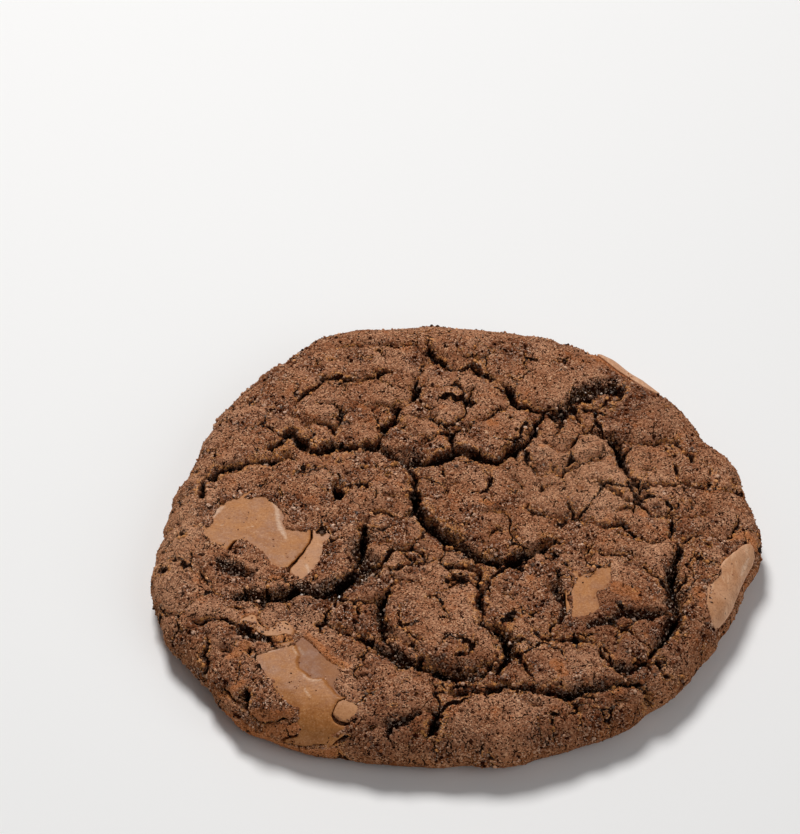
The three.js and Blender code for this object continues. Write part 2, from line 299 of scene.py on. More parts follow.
# cracks of the crust: half width and route
cracks = {
    "farLeftFold": (0.5, [(-25.5, 26.5), (-25, 27.8), (-23.5, 29.5), (-22.2, 31), (-21.2, 32.5),
        (-20, 33.5), (-17.5, 33), (-14.2, 32.8), (-13, 33.5), (-11.5, 34.2), (-10, 34.5), (-8.5, 35)]),
    "farRing": (0.7, [(-2.5, 41), (-2.2, 39.3), (-1.7, 37.8), (-0.5, 36.3), (0.3, 35.5), (2.5, 35.5),
        (4, 36), (5.8, 34.3), (7.5, 33.5), (9, 32.8), (10, 31), (10.6, 28.5), (11.4, 26.8), (12.5, 26.2),
        (15, 25.2), (16.8, 24.3), (18, 24)]),
    "farRim": (0.25, [(-19, 41.1), (-16.7, 41.5), (-14.2, 41.7), (-12.5, 41.5), (-11, 42), (-8.7, 41.4),
        (-7, 41.8), (-5, 42.2), (-3.3, 42.2)]),
    "farNotch": (1.1, [(-3.2, 42.5), (-2.8, 40), (-2, 37)]),
    "farDrop": (0.65, [(-3.8, 36.5), (-4.5, 34.5), (-5.2, 32), (-5, 31), (-5.2, 29), (-5.8, 27.5),
        (-7, 26.5), (-8.3, 25.5), (-8.8, 24.3), (-8.5, 23), (-9, 22), (-10.2, 21.5), (-10.8, 20),
        (-11.2, 19), (-11.5, 17.5), (-11, 16.5)]),
    "leftStep": (0.4, [(-25.5, 24.3), (-23.2, 22.5), (-21.8, 22.5), (-20.3, 22), (-19, 20.8),
        (-18.3, 19.5), (-18.2, 18.5)]),
    "crossLeft": (1.0, [(-29.5, 16.5), (-28, 17.5), (-26.5, 19.5), (-25, 18.8), (-24, 17), (-22.5, 15.7),
        (-20.5, 15.3), (-19.3, 17), (-17, 16.2), (-15, 16.8), (-12.5, 16.6), (-10.8, 17.5)]),
    "crossRight": (0.95, [(-9.3, 14), (-7, 13), (-4.5, 12.6), (-1.5, 13), (0.5, 14.2), (2.5, 15),
        (5.5, 14), (8, 13.2), (9.5, 15), (11, 15.3), (12.5, 17), (14, 19.5), (15, 22), (15.8, 24)]),
    "leftCrescent": (0.8, [(-40, 5), (-40, 9), (-38.8, 8.8), (-38, 9.3), (-37.8, 10.3), (-36.5, 11.5),
        (-35.3, 12), (-34, 12.3), (-32.5, 12.8), (-29.3, 12.8), (-28, 13.5), (-26.5, 14.5), (-25, 14)]),
    "centre": (0.95, [(-6.5, 11.5), (-5.3, 10), (-5.5, 7.5), (-5.2, 5), (-5.6, 2.5), (-4.8, 2), (-3, -1),
        (-1, -3), (0.5, -5), (3, -7.5), (5, -9), (8, -9.3), (10, -8.7), (13, -7.8), (15.5, -5.2),
        (17.5, -5)]),
    "centreBranch": (0.4, [(-12.5, 2.2), (-10.5, 1.5), (-8.5, 0.8), (-7.3, 0.8), (-6.5, 2.2),
        (-5.8, 3.3)]),
    "pit": (0.75, [(-18.5, 8.3), (-17.8, 6.5), (-17.8, 4.8)]),
    "nearTrough": (0.7, [(-13.5, -0.5), (-13.8, -4), (-14, -7), (-15, -10), (-15.5, -12), (-18, -14.5),
        (-20.5, -16.3), (-23, -15.5), (-26, -15.8), (-28.5, -17), (-30, -18.5)]),
    "nearLeft": (0.45, [(-7, -12.8), (-8.3, -13.5), (-9.3, -14.5), (-10.5, -17.2), (-10.5, -20),
        (-10.7, -21.5), (-10.4, -23.4), (-10.2, -25), (-10.7, -26.1)]),
    "nearLeftLow": (0.5, [(-9, -25.3), (-7.8, -25.8), (-6.5, -26.7), (-5.7, -27.8), (-5.3, -28.5),
        (-4.5, -30.5), (-3.8, -31.8), (-2.5, -31.3), (-1.5, -32), (0, -33.2), (1.3, -33), (2.3, -32.3),
        (3.8, -32), (5, -31)]),
    "nearDrop": (0.7, [(0, -10.5), (2.5, -11), (4.5, -12), (4.3, -15.2), (4.7, -17.2), (4.8, -19),
        (5, -21), (5.8, -23), (7.5, -22.8), (8, -24.8), (8.3, -26.5), (8.5, -28.8), (8, -30),
        (7.5, -31.5), (7, -33.8)]),
    "nearRing": (0.8, [(0, -37), (3, -37), (6, -36.3), (9, -35.8), (12, -36), (15, -36.3), (17, -37.5),
        (18.5, -37), (21, -35.8), (25, -35), (28, -35), (29.5, -37), (30, -39.5)]),
    "nearLeftRidge": (0.4, [(-17.7, -23.4), (-16.8, -24.5), (-15, -25), (-13.9, -25.7), (-13, -26.4),
        (-11.4, -28), (-9.8, -29.5), (-9, -29.8)]),
    "rightRing": (0.5, [(35.5, -0.8), (35.8, -2.5), (35.3, -3.8), (36.3, -5), (36.4, -6.5), (36.5, -8),
        (36, -9.3), (35.5, -10.5), (35, -12), (35.3, -15.5), (36, -17), (36, -19.3), (35.8, -21.3),
        (34.8, -22.5), (34.3, -24.3), (32.5, -26.3), (31.3, -27.8), (30.8, -29), (30, -30.3),
        (27.8, -30.5)]),
    "nearRightFork": (0.4, [(14, -24.8), (16.5, -25.3), (19, -25.5), (21, -26), (22.3, -26.4),
        (23.3, -26.3), (24, -27.8), (24.5, -28.3), (24.3, -30.3), (24.8, -31.3), (25.8, -32.5),
        (26.5, -33.5)]),
    "boulderLip": (0.9, [(20, 27), (22.5, 27.8), (24, 29), (26, 30.5), (28, 31), (29.5, 30.8)]),
    "boulderLeft": (0.5, [(20, 27), (18.5, 25.5), (17.5, 24)]),
    "plateEdge": (0.6, [(21.5, 24), (22.5, 21.5), (24, 20), (26, 19), (27.5, 17.3), (28, 15.5),
        (28.3, 13), (29.5, 10.5), (30.5, 8.5), (30.8, 6)]),
    "underBoulder": (0.45, [(28, 18.5), (31, 17.7), (33.5, 17.3), (36.5, 17.8), (38, 17), (39.5, 15.5),
        (39.8, 13.5)]),
    "plateSplit": (0.4, [(14, 13.5), (14.2, 11.3), (14.8, 10.3), (16.9, 11), (18.4, 10), (18.9, 11),
        (19.8, 11.8), (20.8, 12.4), (22, 13.4), (23.8, 14.1), (25.6, 14.2)]),
    "smallSplitA": (0.25, [(15, 9), (15.2, 8), (15, 6.8)]),
    "smallSplitB": (0.35, [(20.8, 8.8), (21.4, 7.6), (21.6, 6.8)]),
    "rightFissure": (0.5, [(24.5, 8.5), (26.5, 6.5), (28.5, 4.5), (30.5, 3.5), (32, 2), (33.5, 0.8),
        (36, 1)]),
    "middleFissure": (0.3, [(12.8, 5.6), (12.9, 4.3), (12.4, 2.7), (13.5, 2), (15, 1.4), (16.3, 1),
        (17.5, 0.8), (18.8, 0.2), (20, 0), (21, -0.4)]),
    "lowerFissure": (0.45, [(20.6, 0.3), (21.5, -0.6), (23, -0.7), (24.5, -1.2), (26.5, -1.5), (28, -1.3),
        (29, -3), (30.5, -4.3), (31.5, -4.6), (33, -4.5), (34, -4.3)]),
    "rimFissure": (0.35, [(31, 7.5), (33.5, 7.5), (36, 7.2), (38, 8), (40, 7.5), (42, 7)]),
    "nearNotch": (0.7, [(-4, -40), (-2.5, -41.5), (-2.5, -43), (-3.8, -46)]),
    "nearHoleA": (0.5, [(12, -39.3), (13, -39.3)]),
    "nearHoleB": (0.4, [(18.5, -39.5), (19.5, -41)]),
    "rightHoleA": (0.55, [(42.3, 8.4), (42.3, 6.6)]),
    "rightHoleB": (0.5, [(39, 3.8), (39.1, 2.2)]),
    "rightHoleC": (0.55, [(31.8, -30.3), (32, -31.5), (32, -32.8)]),
}

# hairline cracks, region by region
fineCracks = [
    # plates on the right
    (0.15, [(16, 17.8), (17.3, 17), (18.2, 16)]),
    (0.12, [(18.7, 15.6), (19.5, 16.2), (20.8, 17.8)]),
    (0.15, [(15.4, 7.6), (16.8, 7.9), (18.3, 8)]),
    (0.3, [(36.7, 13), (37, 11.5), (37.2, 10), (37.4, 8.6)]),
    (0.2, [(36, 0.1), (38, 0.3), (40, 0.6), (41.3, 1.2), (42.3, 2)]),
    (0.25, [(42.4, 13), (42.8, 11.5), (42.6, 10)]),
    (0.12, [(45, 6.5), (46.2, 6.3), (47.2, 5.9)]),
    (0.15, [(33, 14.3), (33.3, 13.5), (33.1, 12.7)]),
    (0.3, [(5, 1.5), (6.2, 1.8), (7.5, 1.5), (8.8, 1.5), (9.5, 0.8), (9.8, -0.3), (9.6, -2), (10, -3.5),
        (10.8, -4.3), (11.8, -4.8)]),
    (0.4, [(6.3, -3.8), (7, -2.7), (8, -2.3), (8.8, -2.9)]),
    (0.15, [(17.2, -2.5), (17.4, -1.3)]),
    (0.2, [(16.5, -3.7), (17.2, -5), (17.6, -6)]),
    (0.2, [(20, -4.8), (21.5, -5.8), (22.3, -5.2)]),
    (0.2, [(22, -9), (23.2, -7.3), (24.2, -8), (26, -7.9), (27.5, -7.9), (29, -8.1), (29.4, -9)]),
    (0.3, [(10.5, 9.6), (11.5, 8.5), (12, 7.4)]),
    (0.3, [(40.5, -3), (39, -4), (37.5, -4.8), (36.8, -5.3)]),
    (0.15, [(41, -2.8), (42.3, -3.8), (42.8, -4.8)]),
    (0.35, [(44.5, -3), (44.8, -4), (46, -2), (46.5, -0.8)]),
    (0.2, [(46.3, -6.6), (45, -7.6), (44, -8.8), (42.8, -10)]),
    (0.4, [(37.3, -12.5), (36.8, -14), (35.5, -15.3)]),
    (0.4, [(30.5, -10.3), (31.5, -12), (33, -13), (33.8, -15), (35.3, -15.5)]),
    (0.25, [(18.5, -10.8), (19.8, -12), (20, -12.8), (21.8, -12.4), (23.3, -11.2), (24.8, -10.2),
        (25.8, -9.6)]),
    (0.25, [(15, -15), (16.5, -15.3), (17.8, -16), (18, -18), (18.6, -19.5)]),
    # far side
    (0.35, [(-3, 24.8), (-2.8, 23.8), (-2.3, 22.5), (-1.3, 21.8), (0, 21), (1, 21.8), (2, 22.8),
        (2.8, 24), (3.2, 25.8), (3, 27.5), (3.8, 28.8), (4.2, 30.8)]),
    (0.5, [(0, 20), (0.3, 18), (0.8, 16.5), (1.3, 15.3)]),
    (0.3, [(-5, 26.5), (-3.8, 26), (-2.6, 25.2)]),
    (0.3, [(-12.5, 25.7), (-11, 26.8), (-10, 26.3), (-8.8, 26.6)]),
    (0.3, [(-12, 24), (-11.5, 22.5), (-10.3, 21.5)]),
    (0.3, [(-6.3, 18.8), (-5, 19), (-3.8, 18.5), (-3, 17.3)]),
    (0.25, [(1, 21.3), (2.8, 21.3), (3.3, 20.2)]),
    (0.25, [(5.3, 23.2), (6.2, 23.4), (7.3, 24.3), (8, 24.8), (9.5, 25.3), (10.5, 25.3)]),
    (0.3, [(-17, 31.8), (-17, 30.3)]),
    (0.25, [(-17, 11), (-16, 10)]),
    (0.25, [(-0.5, 6), (-0.3, 7.5), (0.5, 8.3), (1.5, 9)]),
    (0.2, [(5.3, 42.5), (5, 41), (4.5, 40)]),
    (0.3, [(-14.5, 38.5), (-13.8, 37)]),
    # middle and near side
    (0.25, [(-11.5, -5), (-10, -4.7)]),
    (0.3, [(-13.8, -4.8), (-15, -5.2)]),
    (0.3, [(-8.8, -6), (-7.3, -6.5), (-6, -6.8), (-4.5, -7.5), (-3.8, -9), (-4, -10)]),
    (0.45, [(-9.2, -16.3), (-10.5, -17.2), (-11.8, -18.2), (-13, -18.2)]),
    (0.25, [(5, -4.5), (5.8, -5.3)]),
    (0.3, [(-12, -27.3), (-10, -29), (-8.5, -30)]),
    (0.35, [(8, -16), (9, -16.6), (9.8, -17.3)]),
    (0.3, [(9, -26.3), (10, -26.5), (11.5, -26), (12.8, -26.8)]),
    (0.25, [(16, -16), (17.3, -16.6), (18, -17.8)]),
    (0.45, [(15.3, -24), (16, -22.8), (17, -22.3)]),
    (0.35, [(20.5, -24), (21, -25.3)]),
    (0.3, [(20, -37.5), (21.5, -37.8), (22, -39)]),
    (0.3, [(24.8, -38.5), (26.3, -38.3)]),
    (0.35, [(23, -27), (23.1, -29), (24, -30)]),
    (0.3, [(17.8, -39), (18.8, -39.3), (19.2, -41)]),
    # left side and round the near chocolate
    (0.3, [(-41, -1.5), (-39.5, -1.8)]),
    (0.2, [(-43.5, -1.2), (-45, -2.5), (-46.5, -4.2)]),
    (0.25, [(-39.5, -11), (-38.8, -12.8), (-38, -14.3)]),
    (0.35, [(-32.5, -14.8), (-32.1, -16.3), (-31.9, -18)]),
    (0.3, [(-26.5, 19.5), (-28, 17.5), (-29, 15.5)]),
    (0.3, [(-35, -18.9), (-33.4, -19.3), (-32, -19.3)]),
    (0.35, [(-40, -22.3), (-38.9, -22.7), (-37.7, -21.8), (-35.5, -21.6), (-33.9, -22.5), (-32.5, -23.4),
        (-31, -24.8), (-30, -25.5)]),
    (0.5, [(-28.6, -25.2), (-27.3, -26.6), (-25.5, -26.8), (-24.4, -26.2)]),
    (0.2, [(-24.3, -24.2), (-23.4, -25)]),
    (0.35, [(-38, -24.5), (-37.7, -26.8), (-38.2, -29.5), (-37.7, -30.5), (-37.8, -34)]),
    (0.4, [(-35.5, -28), (-34, -28.2)]),
    (0.5, [(-31.1, -27.7), (-30.9, -29), (-30.5, -29.8)]),
    (0.3, [(-32.5, -30.7), (-32.7, -33), (-33, -35)]),
    (0.3, [(-34.9, -36.1), (-33.9, -37.2), (-32.3, -38.9)]),
    (0.2, [(-37.5, -36.1), (-35.9, -37.5)]),
    (0.8, [(-31, -36.5), (-31.2, -38.5), (-31, -40.2)]),
    (0.25, [(-30.9, -40.2), (-29.8, -41.8), (-28.4, -42.7), (-26.6, -42.6), (-25.2, -42), (-24.5, -42.6),
        (-23.4, -42.6)]),
    (0.2, [(-19.2, -30.4), (-17.9, -31.2), (-17, -32)]),
    (0.15, [(-16.6, -30), (-16.8, -31.4), (-16.4, -32.3)]),
    (0.15, [(-15.5, -30), (-15.2, -30.9)]),
    (0.35, [(-15, -33.3), (-14.2, -34)]),
    (0.7, [(-18.2, -47.2), (-17.3, -46.2), (-15.9, -45.5)]),
    (0.3, [(-12.7, -44), (-11.5, -43.6)]),
]

# single holes: place and half width
pits = [
    (17.2, 12, 0.35), (24.3, 8.3, 0.3), (31.8, 6.6, 0.5), (31.3, 3.7, 0.3), (37.5, 3.7, 0.25),
    (35.9, 4.2, 0.2), (46, 8.2, 0.3), (39.5, 14.8, 0.5), (10.5, 23.6, 0.3), (-17.7, 12.9, 0.3),
    (-11.5, 39.5, 0.3), (-12.8, 37.8, 0.3), (-19.8, 37.2, 0.3), (-21.8, 36, 0.3), (2.4, 40, 0.25),
    (-9.7, 10.3, 0.3), (-14, 12, 0.25), (-11.8, 12.2, 0.25), (-7.4, 20.1, 0.35), (-6.2, -6.4, 0.5),
    (-11.5, -12, 0.5), (-14, -25.6, 0.7), (-13, -26.1, 0.5), (-7.5, -32, 0.6), (13.3, -24.6, 0.4),
    (18.3, -10.3, 0.3), (24.8, -21.6, 0.3), (28.5, -21.8, 0.35), (33.7, -20.6, 0.3), (28.5, -35.2, 0.45),
    (40.9, -6, 0.4), (-37.8, 13.9, 0.3), (-40.8, 11, 0.3), (-43.5, -9.5, 0.35), (-44.8, -11.5, 0.5),
    (-42.6, -3.8, 0.4), (-38, -5.5, 0.3), (-19.3, -22.4, 0.3), (-20.6, -23.5, 0.35), (-6.1, -27, 0.45),
    (-8.8, -39.6, 0.25), (32.5, -33.6, 0.4),
]

# sunken strips of crumbly dough, painted near black as shade: half width and route
valleys = [
    (1.5, [(-5.5, 6), (-5.5, 2), (-4, -1.5), (-1, -3.5), (2, -5.8), (4, -8), (6, -9.6), (8.8, -10),
        (10.5, -9), (12.5, -7.8), (14.5, -6.5), (15.8, -5.5)]),
    (2.2, [(-33, -17), (-29.8, -16.5), (-28, -17), (-25.5, -16.3), (-23, -15.8), (-20.5, -16),
        (-18, -16.3), (-16.5, -14.3), (-14.8, -13.3), (-13.5, -11.8), (-13, -10), (-14, -7.5),
        (-14.5, -6), (-13, -3.5)]),
    (1.3, [(6.5, -23), (8.5, -26), (9, -28.5), (8.3, -31)]),
    (1.2, [(-9.5, -16), (-11, -18.5), (-10.8, -22), (-10, -26), (-7.5, -30)]),
    (1.7, [(35.8, -8), (35, -12), (35, -16), (34.8, -20), (34, -24), (32, -27)]),
    (1.3, [(21.5, -23), (25, -21.8), (28, -20.3), (31, -21.3), (34, -20.5)]),
    (1.0, [(17, -12.5), (17, -16), (17.8, -19), (17, -22)]),
    (1.2, [(24.8, -30.8), (27, -32), (29.5, -31)]),
    (1.2, [(14, -36), (17, -37), (20, -35.8), (24, -35), (28, -35)]),
    (1.3, [(20, 26), (21.5, 28.5), (24, 30.5), (28, 32)]),
    (1.2, [(-33, -24), (-31, -25.3), (-28, -26)]),
    (1.3, [(-17, 15.8), (-12, 16), (-8, 14.3), (-4, 13.2)]),
    (1.2, [(-19, 8), (-18, 5)]),
    (1.6, [(-37, -9), (-34, -11), (-31.5, -12)]),
    (1.1, [(24, 20.5), (27.5, 17.8), (28.2, 14)]),
    (1.8, [(-12, -27), (-7, -30.5), (-2, -32.3), (3, -33.3), (6, -33)]),
    (1.4, [(-5.5, -41), (-8.5, -43), (-9.8, -45.5)]),
]

# dough tinted by melted chocolate or caramelised: half width and route
stains = [
    (1.0, [(-34, -29.8), (-32.5, -28.3), (-31.8, -27.3)]),
    (0.9, [(-34, -37.3), (-32.8, -35.8), (-32, -35)]),
    (1.1, [(-29.7, -40.6), (-27.5, -41.4), (-24.5, -41)]),
    (1.2, [(-27.5, -43.8), (-25, -44.2), (-23.5, -43.6)]),
    (0.8, [(-34, -40.6), (-31, -43.2), (-28.5, -45.2), (-26, -46.9), (-22, -48.2), (-17, -48.6)]),
    (0.7, [(-22.3, -25.3), (-20.3, -27.5), (-18.8, -29.8), (-17, -30.8), (-15.8, -31.5)]),
    (0.8, [(-32, -21.6), (-30.5, -21.2)]),
    (1.0, [(-27.5, -25.6), (-25.8, -25.2), (-24.8, -24.6)]),
    (0.5, [(-28.2, -13), (-26.6, -13)]),
    (0.8, [(45.2, -4.5), (47.3, -3.4), (48.6, -6)]),
    (0.8, [(24.5, 39), (29, 35), (34, 30.5)]),
    (1.6, [(26.2, -14.8), (28.8, -15.6)]),
    (1.0, [(7.2, 22.4), (7.6, 22.4)]),
    (0.8, [(15.3, 16.5), (15.5, 16.4)]),
    (0.8, [(-14.4, 25.8), (-14, 25.8)]),
    (1.0, [(30.9, 1.2), (31.1, 0.6)]),
    (0.9, [(5.5, 3.8), (6.5, 3.2)]),
    (0.7, [(17, -13), (17.1, -13.6)]),
    (0.8, [(12.3, -13.5), (12.7, -13.4)]),
    (0.8, [(0.3, -13.5), (0.7, -13.6)]),
    (0.8, [(29, -17), (29.4, -17.2)]),
    (1.2, [(16, -30), (17, -32.6)]),
    (0.5, [(31.8, -17.5), (31.8, -17.9)]),
    (0.6, [(30, -25.4), (30.1, -25.6)]),
    (1.0, [(38.6, -15.8), (39, -17)]),
    (0.5, [(46.4, -13.2), (46.6, -13.8)]),
    (0.4, [(-21.4, 3.6), (-21.2, 3.6)]),
    (0.4, [(-31.4, 18.3), (-31.2, 18.3)]),
    (0.5, [(-32, -11.2), (-32, -11.4)]),
]


def outlineRadius(bearing):
    radius = np.full_like(bearing, cookie["radius"])
    degrees = np.degrees(bearing)
    for middle, spread, reach in cookie["swells"]:
        away = np.abs((degrees - middle + 540) % 360 - 180)
        radius += reach * np.exp(-(away / spread) ** 2)
    for count, reach, start in cookie["waves"]:
        radius += reach * np.sin(count * bearing + start)
    return radius


def crustSection():
    # share of the radius against height, from the middle of the top round to the middle of the base
    top, drop, belly, base = cookie["height"], cookie["shoulderDrop"], cookie["belly"], cookie["baseShare"]
    start, pull = cookie["shoulder"]
    high, low = cookie["foot"]
    steps = cookie["steps"]
    level = [(start * i / steps["top"], top) for i in range(steps["top"])]
    bend = geometry.interpolate_bezier((start, top), (pull, top), (1, drop), (1, belly), steps["shoulder"])
    foot = geometry.interpolate_bezier((1, belly), (1, high), (1, low), (base, 0), steps["foot"])
    under = [(base * (1 - i / steps["base"]), 0) for i in range(steps["base"] + 1)]
    return np.array(level + [tuple(p) for p in bend] + [tuple(p) for p in foot[1:]] + under[1:])


def smoothCookie(name, subdivisions, baseWeight=0.25, grown=0.0):
    # a ball whose points slide along the section, so that they lie evenly over the crust and
    # thinly on the base
    shape = bmesh.new()
    bmesh.ops.create_icosphere(shape, subdivisions=subdivisions, radius=1)
    mesh = meshFrom(name, shape)
    ball = places(mesh)
    section = crustSection()
    lengths = np.hypot(np.diff(section[:, 0]) * cookie["radius"], np.diff(section[:, 1]))
    rings = (section[1:, 0] + section[:-1, 0]) / 2 * lengths
    rings *= np.where(section[1:, 1] <= 0, baseWeight, 1)
    share = np.concatenate([[0], np.cumsum(rings)]) / rings.sum()
    along = (1 - ball[:, 2]) / 2
    radius = np.interp(along, share, section[:, 0])
    height = np.interp(along, share, section[:, 1])
    bearing = np.arctan2(ball[:, 1], ball[:, 0])
    out = radius * (outlineRadius(bearing) + grown)
    height = height + np.where(height > 0, grown, 0)
    points = np.stack([out * np.cos(bearing), out * np.sin(bearing), height], 1)
    setPlaces(mesh, points)
    return mesh, points


def moundRise(points, shapes):
    rise = np.zeros(len(points))
    for x, y, halfX, halfY, turn, top in shapes:
        c, s = math.cos(math.radians(turn)), math.sin(math.radians(turn))
        dx, dy = points[:, 0] - x, points[:, 1] - y
        reach = ((dx * c + dy * s) / halfX) ** 2 + ((dy * c - dx * s) / halfY) ** 2
        rise += top * np.clip(1 - reach, 0, 1) ** moundFall
    return rise


def farShare(y):
    # 0 on the near side and 1 towards the far rim
    return np.clip(y / farDepth + 0.5, 0, 1)


def seenPlaces(points):
    # where each point shows, as seen by the camera, on the seen level; the far rim keeps its own place
    eye = np.array(view["place"])
    z = points[:, 2]
    z = np.where(z < seenLevel, z + (seenLevel - z) * farShare(points[:, 1]), z)
    reach = (eye[2] - seenLevel) / (eye[2] - z)
    seen = eye[:2] + (points[:, :2] - eye[:2]) * reach[:, None]
    return np.column_stack([seen, np.zeros(len(points))])


def routeCurve(name, routes, closed=False, ends=0.55):
    # helper curves in mm, flat on the seen level; the radius of a point is half the width there, and the
    # outer quarters of a route narrow to the share that ends gives
    curve = bpy.data.curves.new(name, "CURVE")
    curve.dimensions = "3D"
    for half, route in routes:
        spline = curve.splines.new("POLY")
        spline.points.add(len(route) - 1)
        spline.use_cyclic_u = closed
        quarter = max(1, (len(route) - 1) / 4)
        for i, (point, (x, y)) in enumerate(zip(spline.points, route)):
            point.co = (x, y, 0, 1)
            inward = min(i, len(route) - 1 - i) / quarter
            point.radius = half * (ends + (1 - ends) * min(1, inward))
    return newPiece(name, curve)


# chocolate, in mm: outline, depth of the block, rise above the smooth crust and how far it reaches out
# under the lip of dough
chunks = {
    "chunk_left": {
        "finish": "milk_chocolate",
        "outline": [
            (-39.5, -3), (-38.3, -1.3), (-38, 1), (-37.3, 2.5), (-36, 4), (-34.2, 4.7), (-32.5, 4.5),
            (-31, 5), (-29.8, 5.2), (-28.8, 4.5), (-27.5, 3.3), (-26.8, 2), (-26.3, 0.8), (-26.4, -0.8),
            (-25.7, -2.2), (-24, -2.5), (-22.4, -3.2), (-22.3, -4.9), (-22.6, -6), (-23.5, -7.8),
            (-24.7, -9.7), (-25.7, -11), (-27.3, -11), (-28.5, -10.2), (-29, -8.8), (-30.3, -7.5),
            (-31, -6.5), (-32.3, -5.3), (-33.3, -4.9), (-34, -5.8), (-34.8, -7.4), (-36, -7),
            (-37.3, -5.8), (-38.6, -4.7),
        ],
        "deep": 6,
        "grown": 0.15,
        "margin": 1.0,
    },
    "chunk_left_flake": {
        "finish": "worn_chocolate",
        "outline": [
            (-21.8, -3.3), (-21, -3.1), (-20.3, -3.2), (-19.6, -3.1), (-18.9, -3.2), (-18.9, -4.2),
            (-19.8, -5.5), (-20, -7.2), (-20.5, -9.5), (-21.5, -11.5), (-22.5, -12.8), (-23.7, -13.4),
            (-24.9, -12.4), (-25, -11.4), (-24.1, -10.1), (-23, -8.2), (-22.1, -6.3), (-21.8, -5.1),
        ],
        "deep": 5.5,
        "grown": 0.1,
        "margin": 1.0,
    },
    "chunk_near": {
        "finish": "milk_chocolate",
        "outline": [
            (-30.2, -29.6), (-29, -28.6), (-27.5, -28), (-26.2, -27.6), (-24.6, -27.3), (-24.2, -26.5),
            (-23.6, -25.6), (-23, -25.2), (-22.2, -25.8), (-21, -27), (-20.3, -28.3), (-19.3, -29.4),
            (-18.4, -30.5), (-17.3, -31.8), (-16.7, -32.9), (-17.5, -34.2), (-17.8, -35.2),
            (-17.2, -36.6), (-16.3, -37.6), (-17.4, -38.5), (-18, -39.7), (-18.4, -41.2), (-18, -42.4),
            (-17, -43), (-15.8, -43.3), (-16.6, -44.3), (-17.9, -45.3), (-18.8, -46.7), (-20.2, -47.2),
            (-22.3, -47.4), (-24.5, -46.9), (-26.3, -46), (-24.6, -45), (-22.9, -44.4), (-23.3, -42.8),
            (-23.1, -41), (-24, -39.8), (-25.2, -39), (-26.1, -37.7), (-27, -36.1), (-27.3, -34.8),
            (-28.2, -33.9), (-28.9, -32.7), (-29.5, -31.4),
        ],
        "deep": 8,
        "grown": 0.2,
        "margin": 1.0,
        # a thin layer has come off beyond this line
        "scaled": [
            (-24.3, -27), (-23.6, -29.1), (-23.8, -30), (-23.6, -31.8), (-22.7, -32.7), (-21.4, -34.1),
            (-19.8, -34), (-19.3, -34.8), (-18.4, -36.1), (-16.5, -37.8), (-13, -34), (-17, -28),
            (-22.5, -22.5), (-24.5, -24.5),
        ],
    },
    "chunk_near_flake": {
        "finish": "worn_chocolate",
        "outline": [
            (-17.2, -38.7), (-15.9, -38.3), (-14.1, -39.6), (-14.2, -40.7), (-15, -41.8), (-15.9, -42.5),
            (-17, -42.2), (-17.9, -41.1), (-17.5, -39.8),
        ],
        "deep": 5.5,
        "grown": 0.25,
        "margin": 1.0,
    },
    "chunk_small": {
        "finish": "worn_chocolate",
        "outline": [
            (-32.6, -21.8), (-31.7, -21.3), (-31, -20.8), (-30.2, -21), (-29.9, -22), (-29.5, -22.9),
            (-28.4, -23.6), (-27.5, -23.2), (-27.2, -22.2), (-26.4, -22.2), (-25.7, -22), (-24.9, -23.2),
            (-24.4, -24), (-23.7, -24.9), (-24.8, -25.1), (-26, -24.7), (-27, -25.2), (-28.6, -25.1),
            (-29.8, -24.3), (-30.4, -23), (-31.2, -22.7), (-32.3, -22.4),
        ],
        "deep": 5,
        "grown": 0.35,
        "margin": 0.2,
    },
    "chunk_right": {
        "finish": "milk_chocolate",
        "outline": [
            (18.6, -21.3), (18.9, -18), (18.9, -15.6), (20, -12.9), (21.8, -12.5), (23.3, -11.4),
            (24.8, -10.4), (25.8, -9.9), (25.6, -12), (25.3, -14), (24.3, -15.3), (23.1, -16.1),
            (23.3, -17.6), (23.4, -19.5), (22.6, -20.5), (21, -21.6), (19.5, -21.8),
        ],
        "deep": 5.5,
        "grown": 0.1,
        "margin": 1.0,
    },
    "chunk_edge": {
        "finish": "bloomed_chocolate",
        "outline": [
            (47.8, -5.6), (46.6, -6.1), (45.5, -7.5), (44, -9), (42.8, -10.5), (42.2, -12.6),
            (41.2, -13.9), (40.1, -15.3), (39.8, -16.8), (40, -18.5), (40.3, -20.5), (40.6, -23),
            (41, -24), (41.9, -23.2), (42.8, -21.8), (43.8, -20), (44.7, -17.6), (45.4, -15.6),
            (46.2, -13.6), (46.9, -12.1), (47.7, -10.6), (48.4, -8.6), (48.3, -6.5),
        ],
        "deep": 8,
        "grown": 0.4,
        "margin": 0.1,
    },
    "chunk_far": {
        "finish": "bloomed_chocolate",
        "outline": [
            (25.6, 39.3), (27, 37.2), (29, 34.9), (31, 32.8), (32.9, 31), (34.9, 29.8), (35.7, 30.6),
            (34.6, 33), (32.6, 35.3), (30.5, 37.4), (28, 39.2), (26.5, 40),
        ],
        "deep": 5,
        "grown": 0.65,
        "margin": 0.1,
    },
}

# where two pieces of chocolate meet there is no dough between them: half width and route
clefts = [
    (0.85, [(-22.1, -3), (-22.1, -5), (-22.7, -6.8), (-24.2, -9.5), (-25.4, -11.4)]),
    (0.75, [(-16.6, -38.1), (-17.7, -39.2), (-18.2, -41.2), (-17.4, -42.6), (-16, -42.9)]),
]

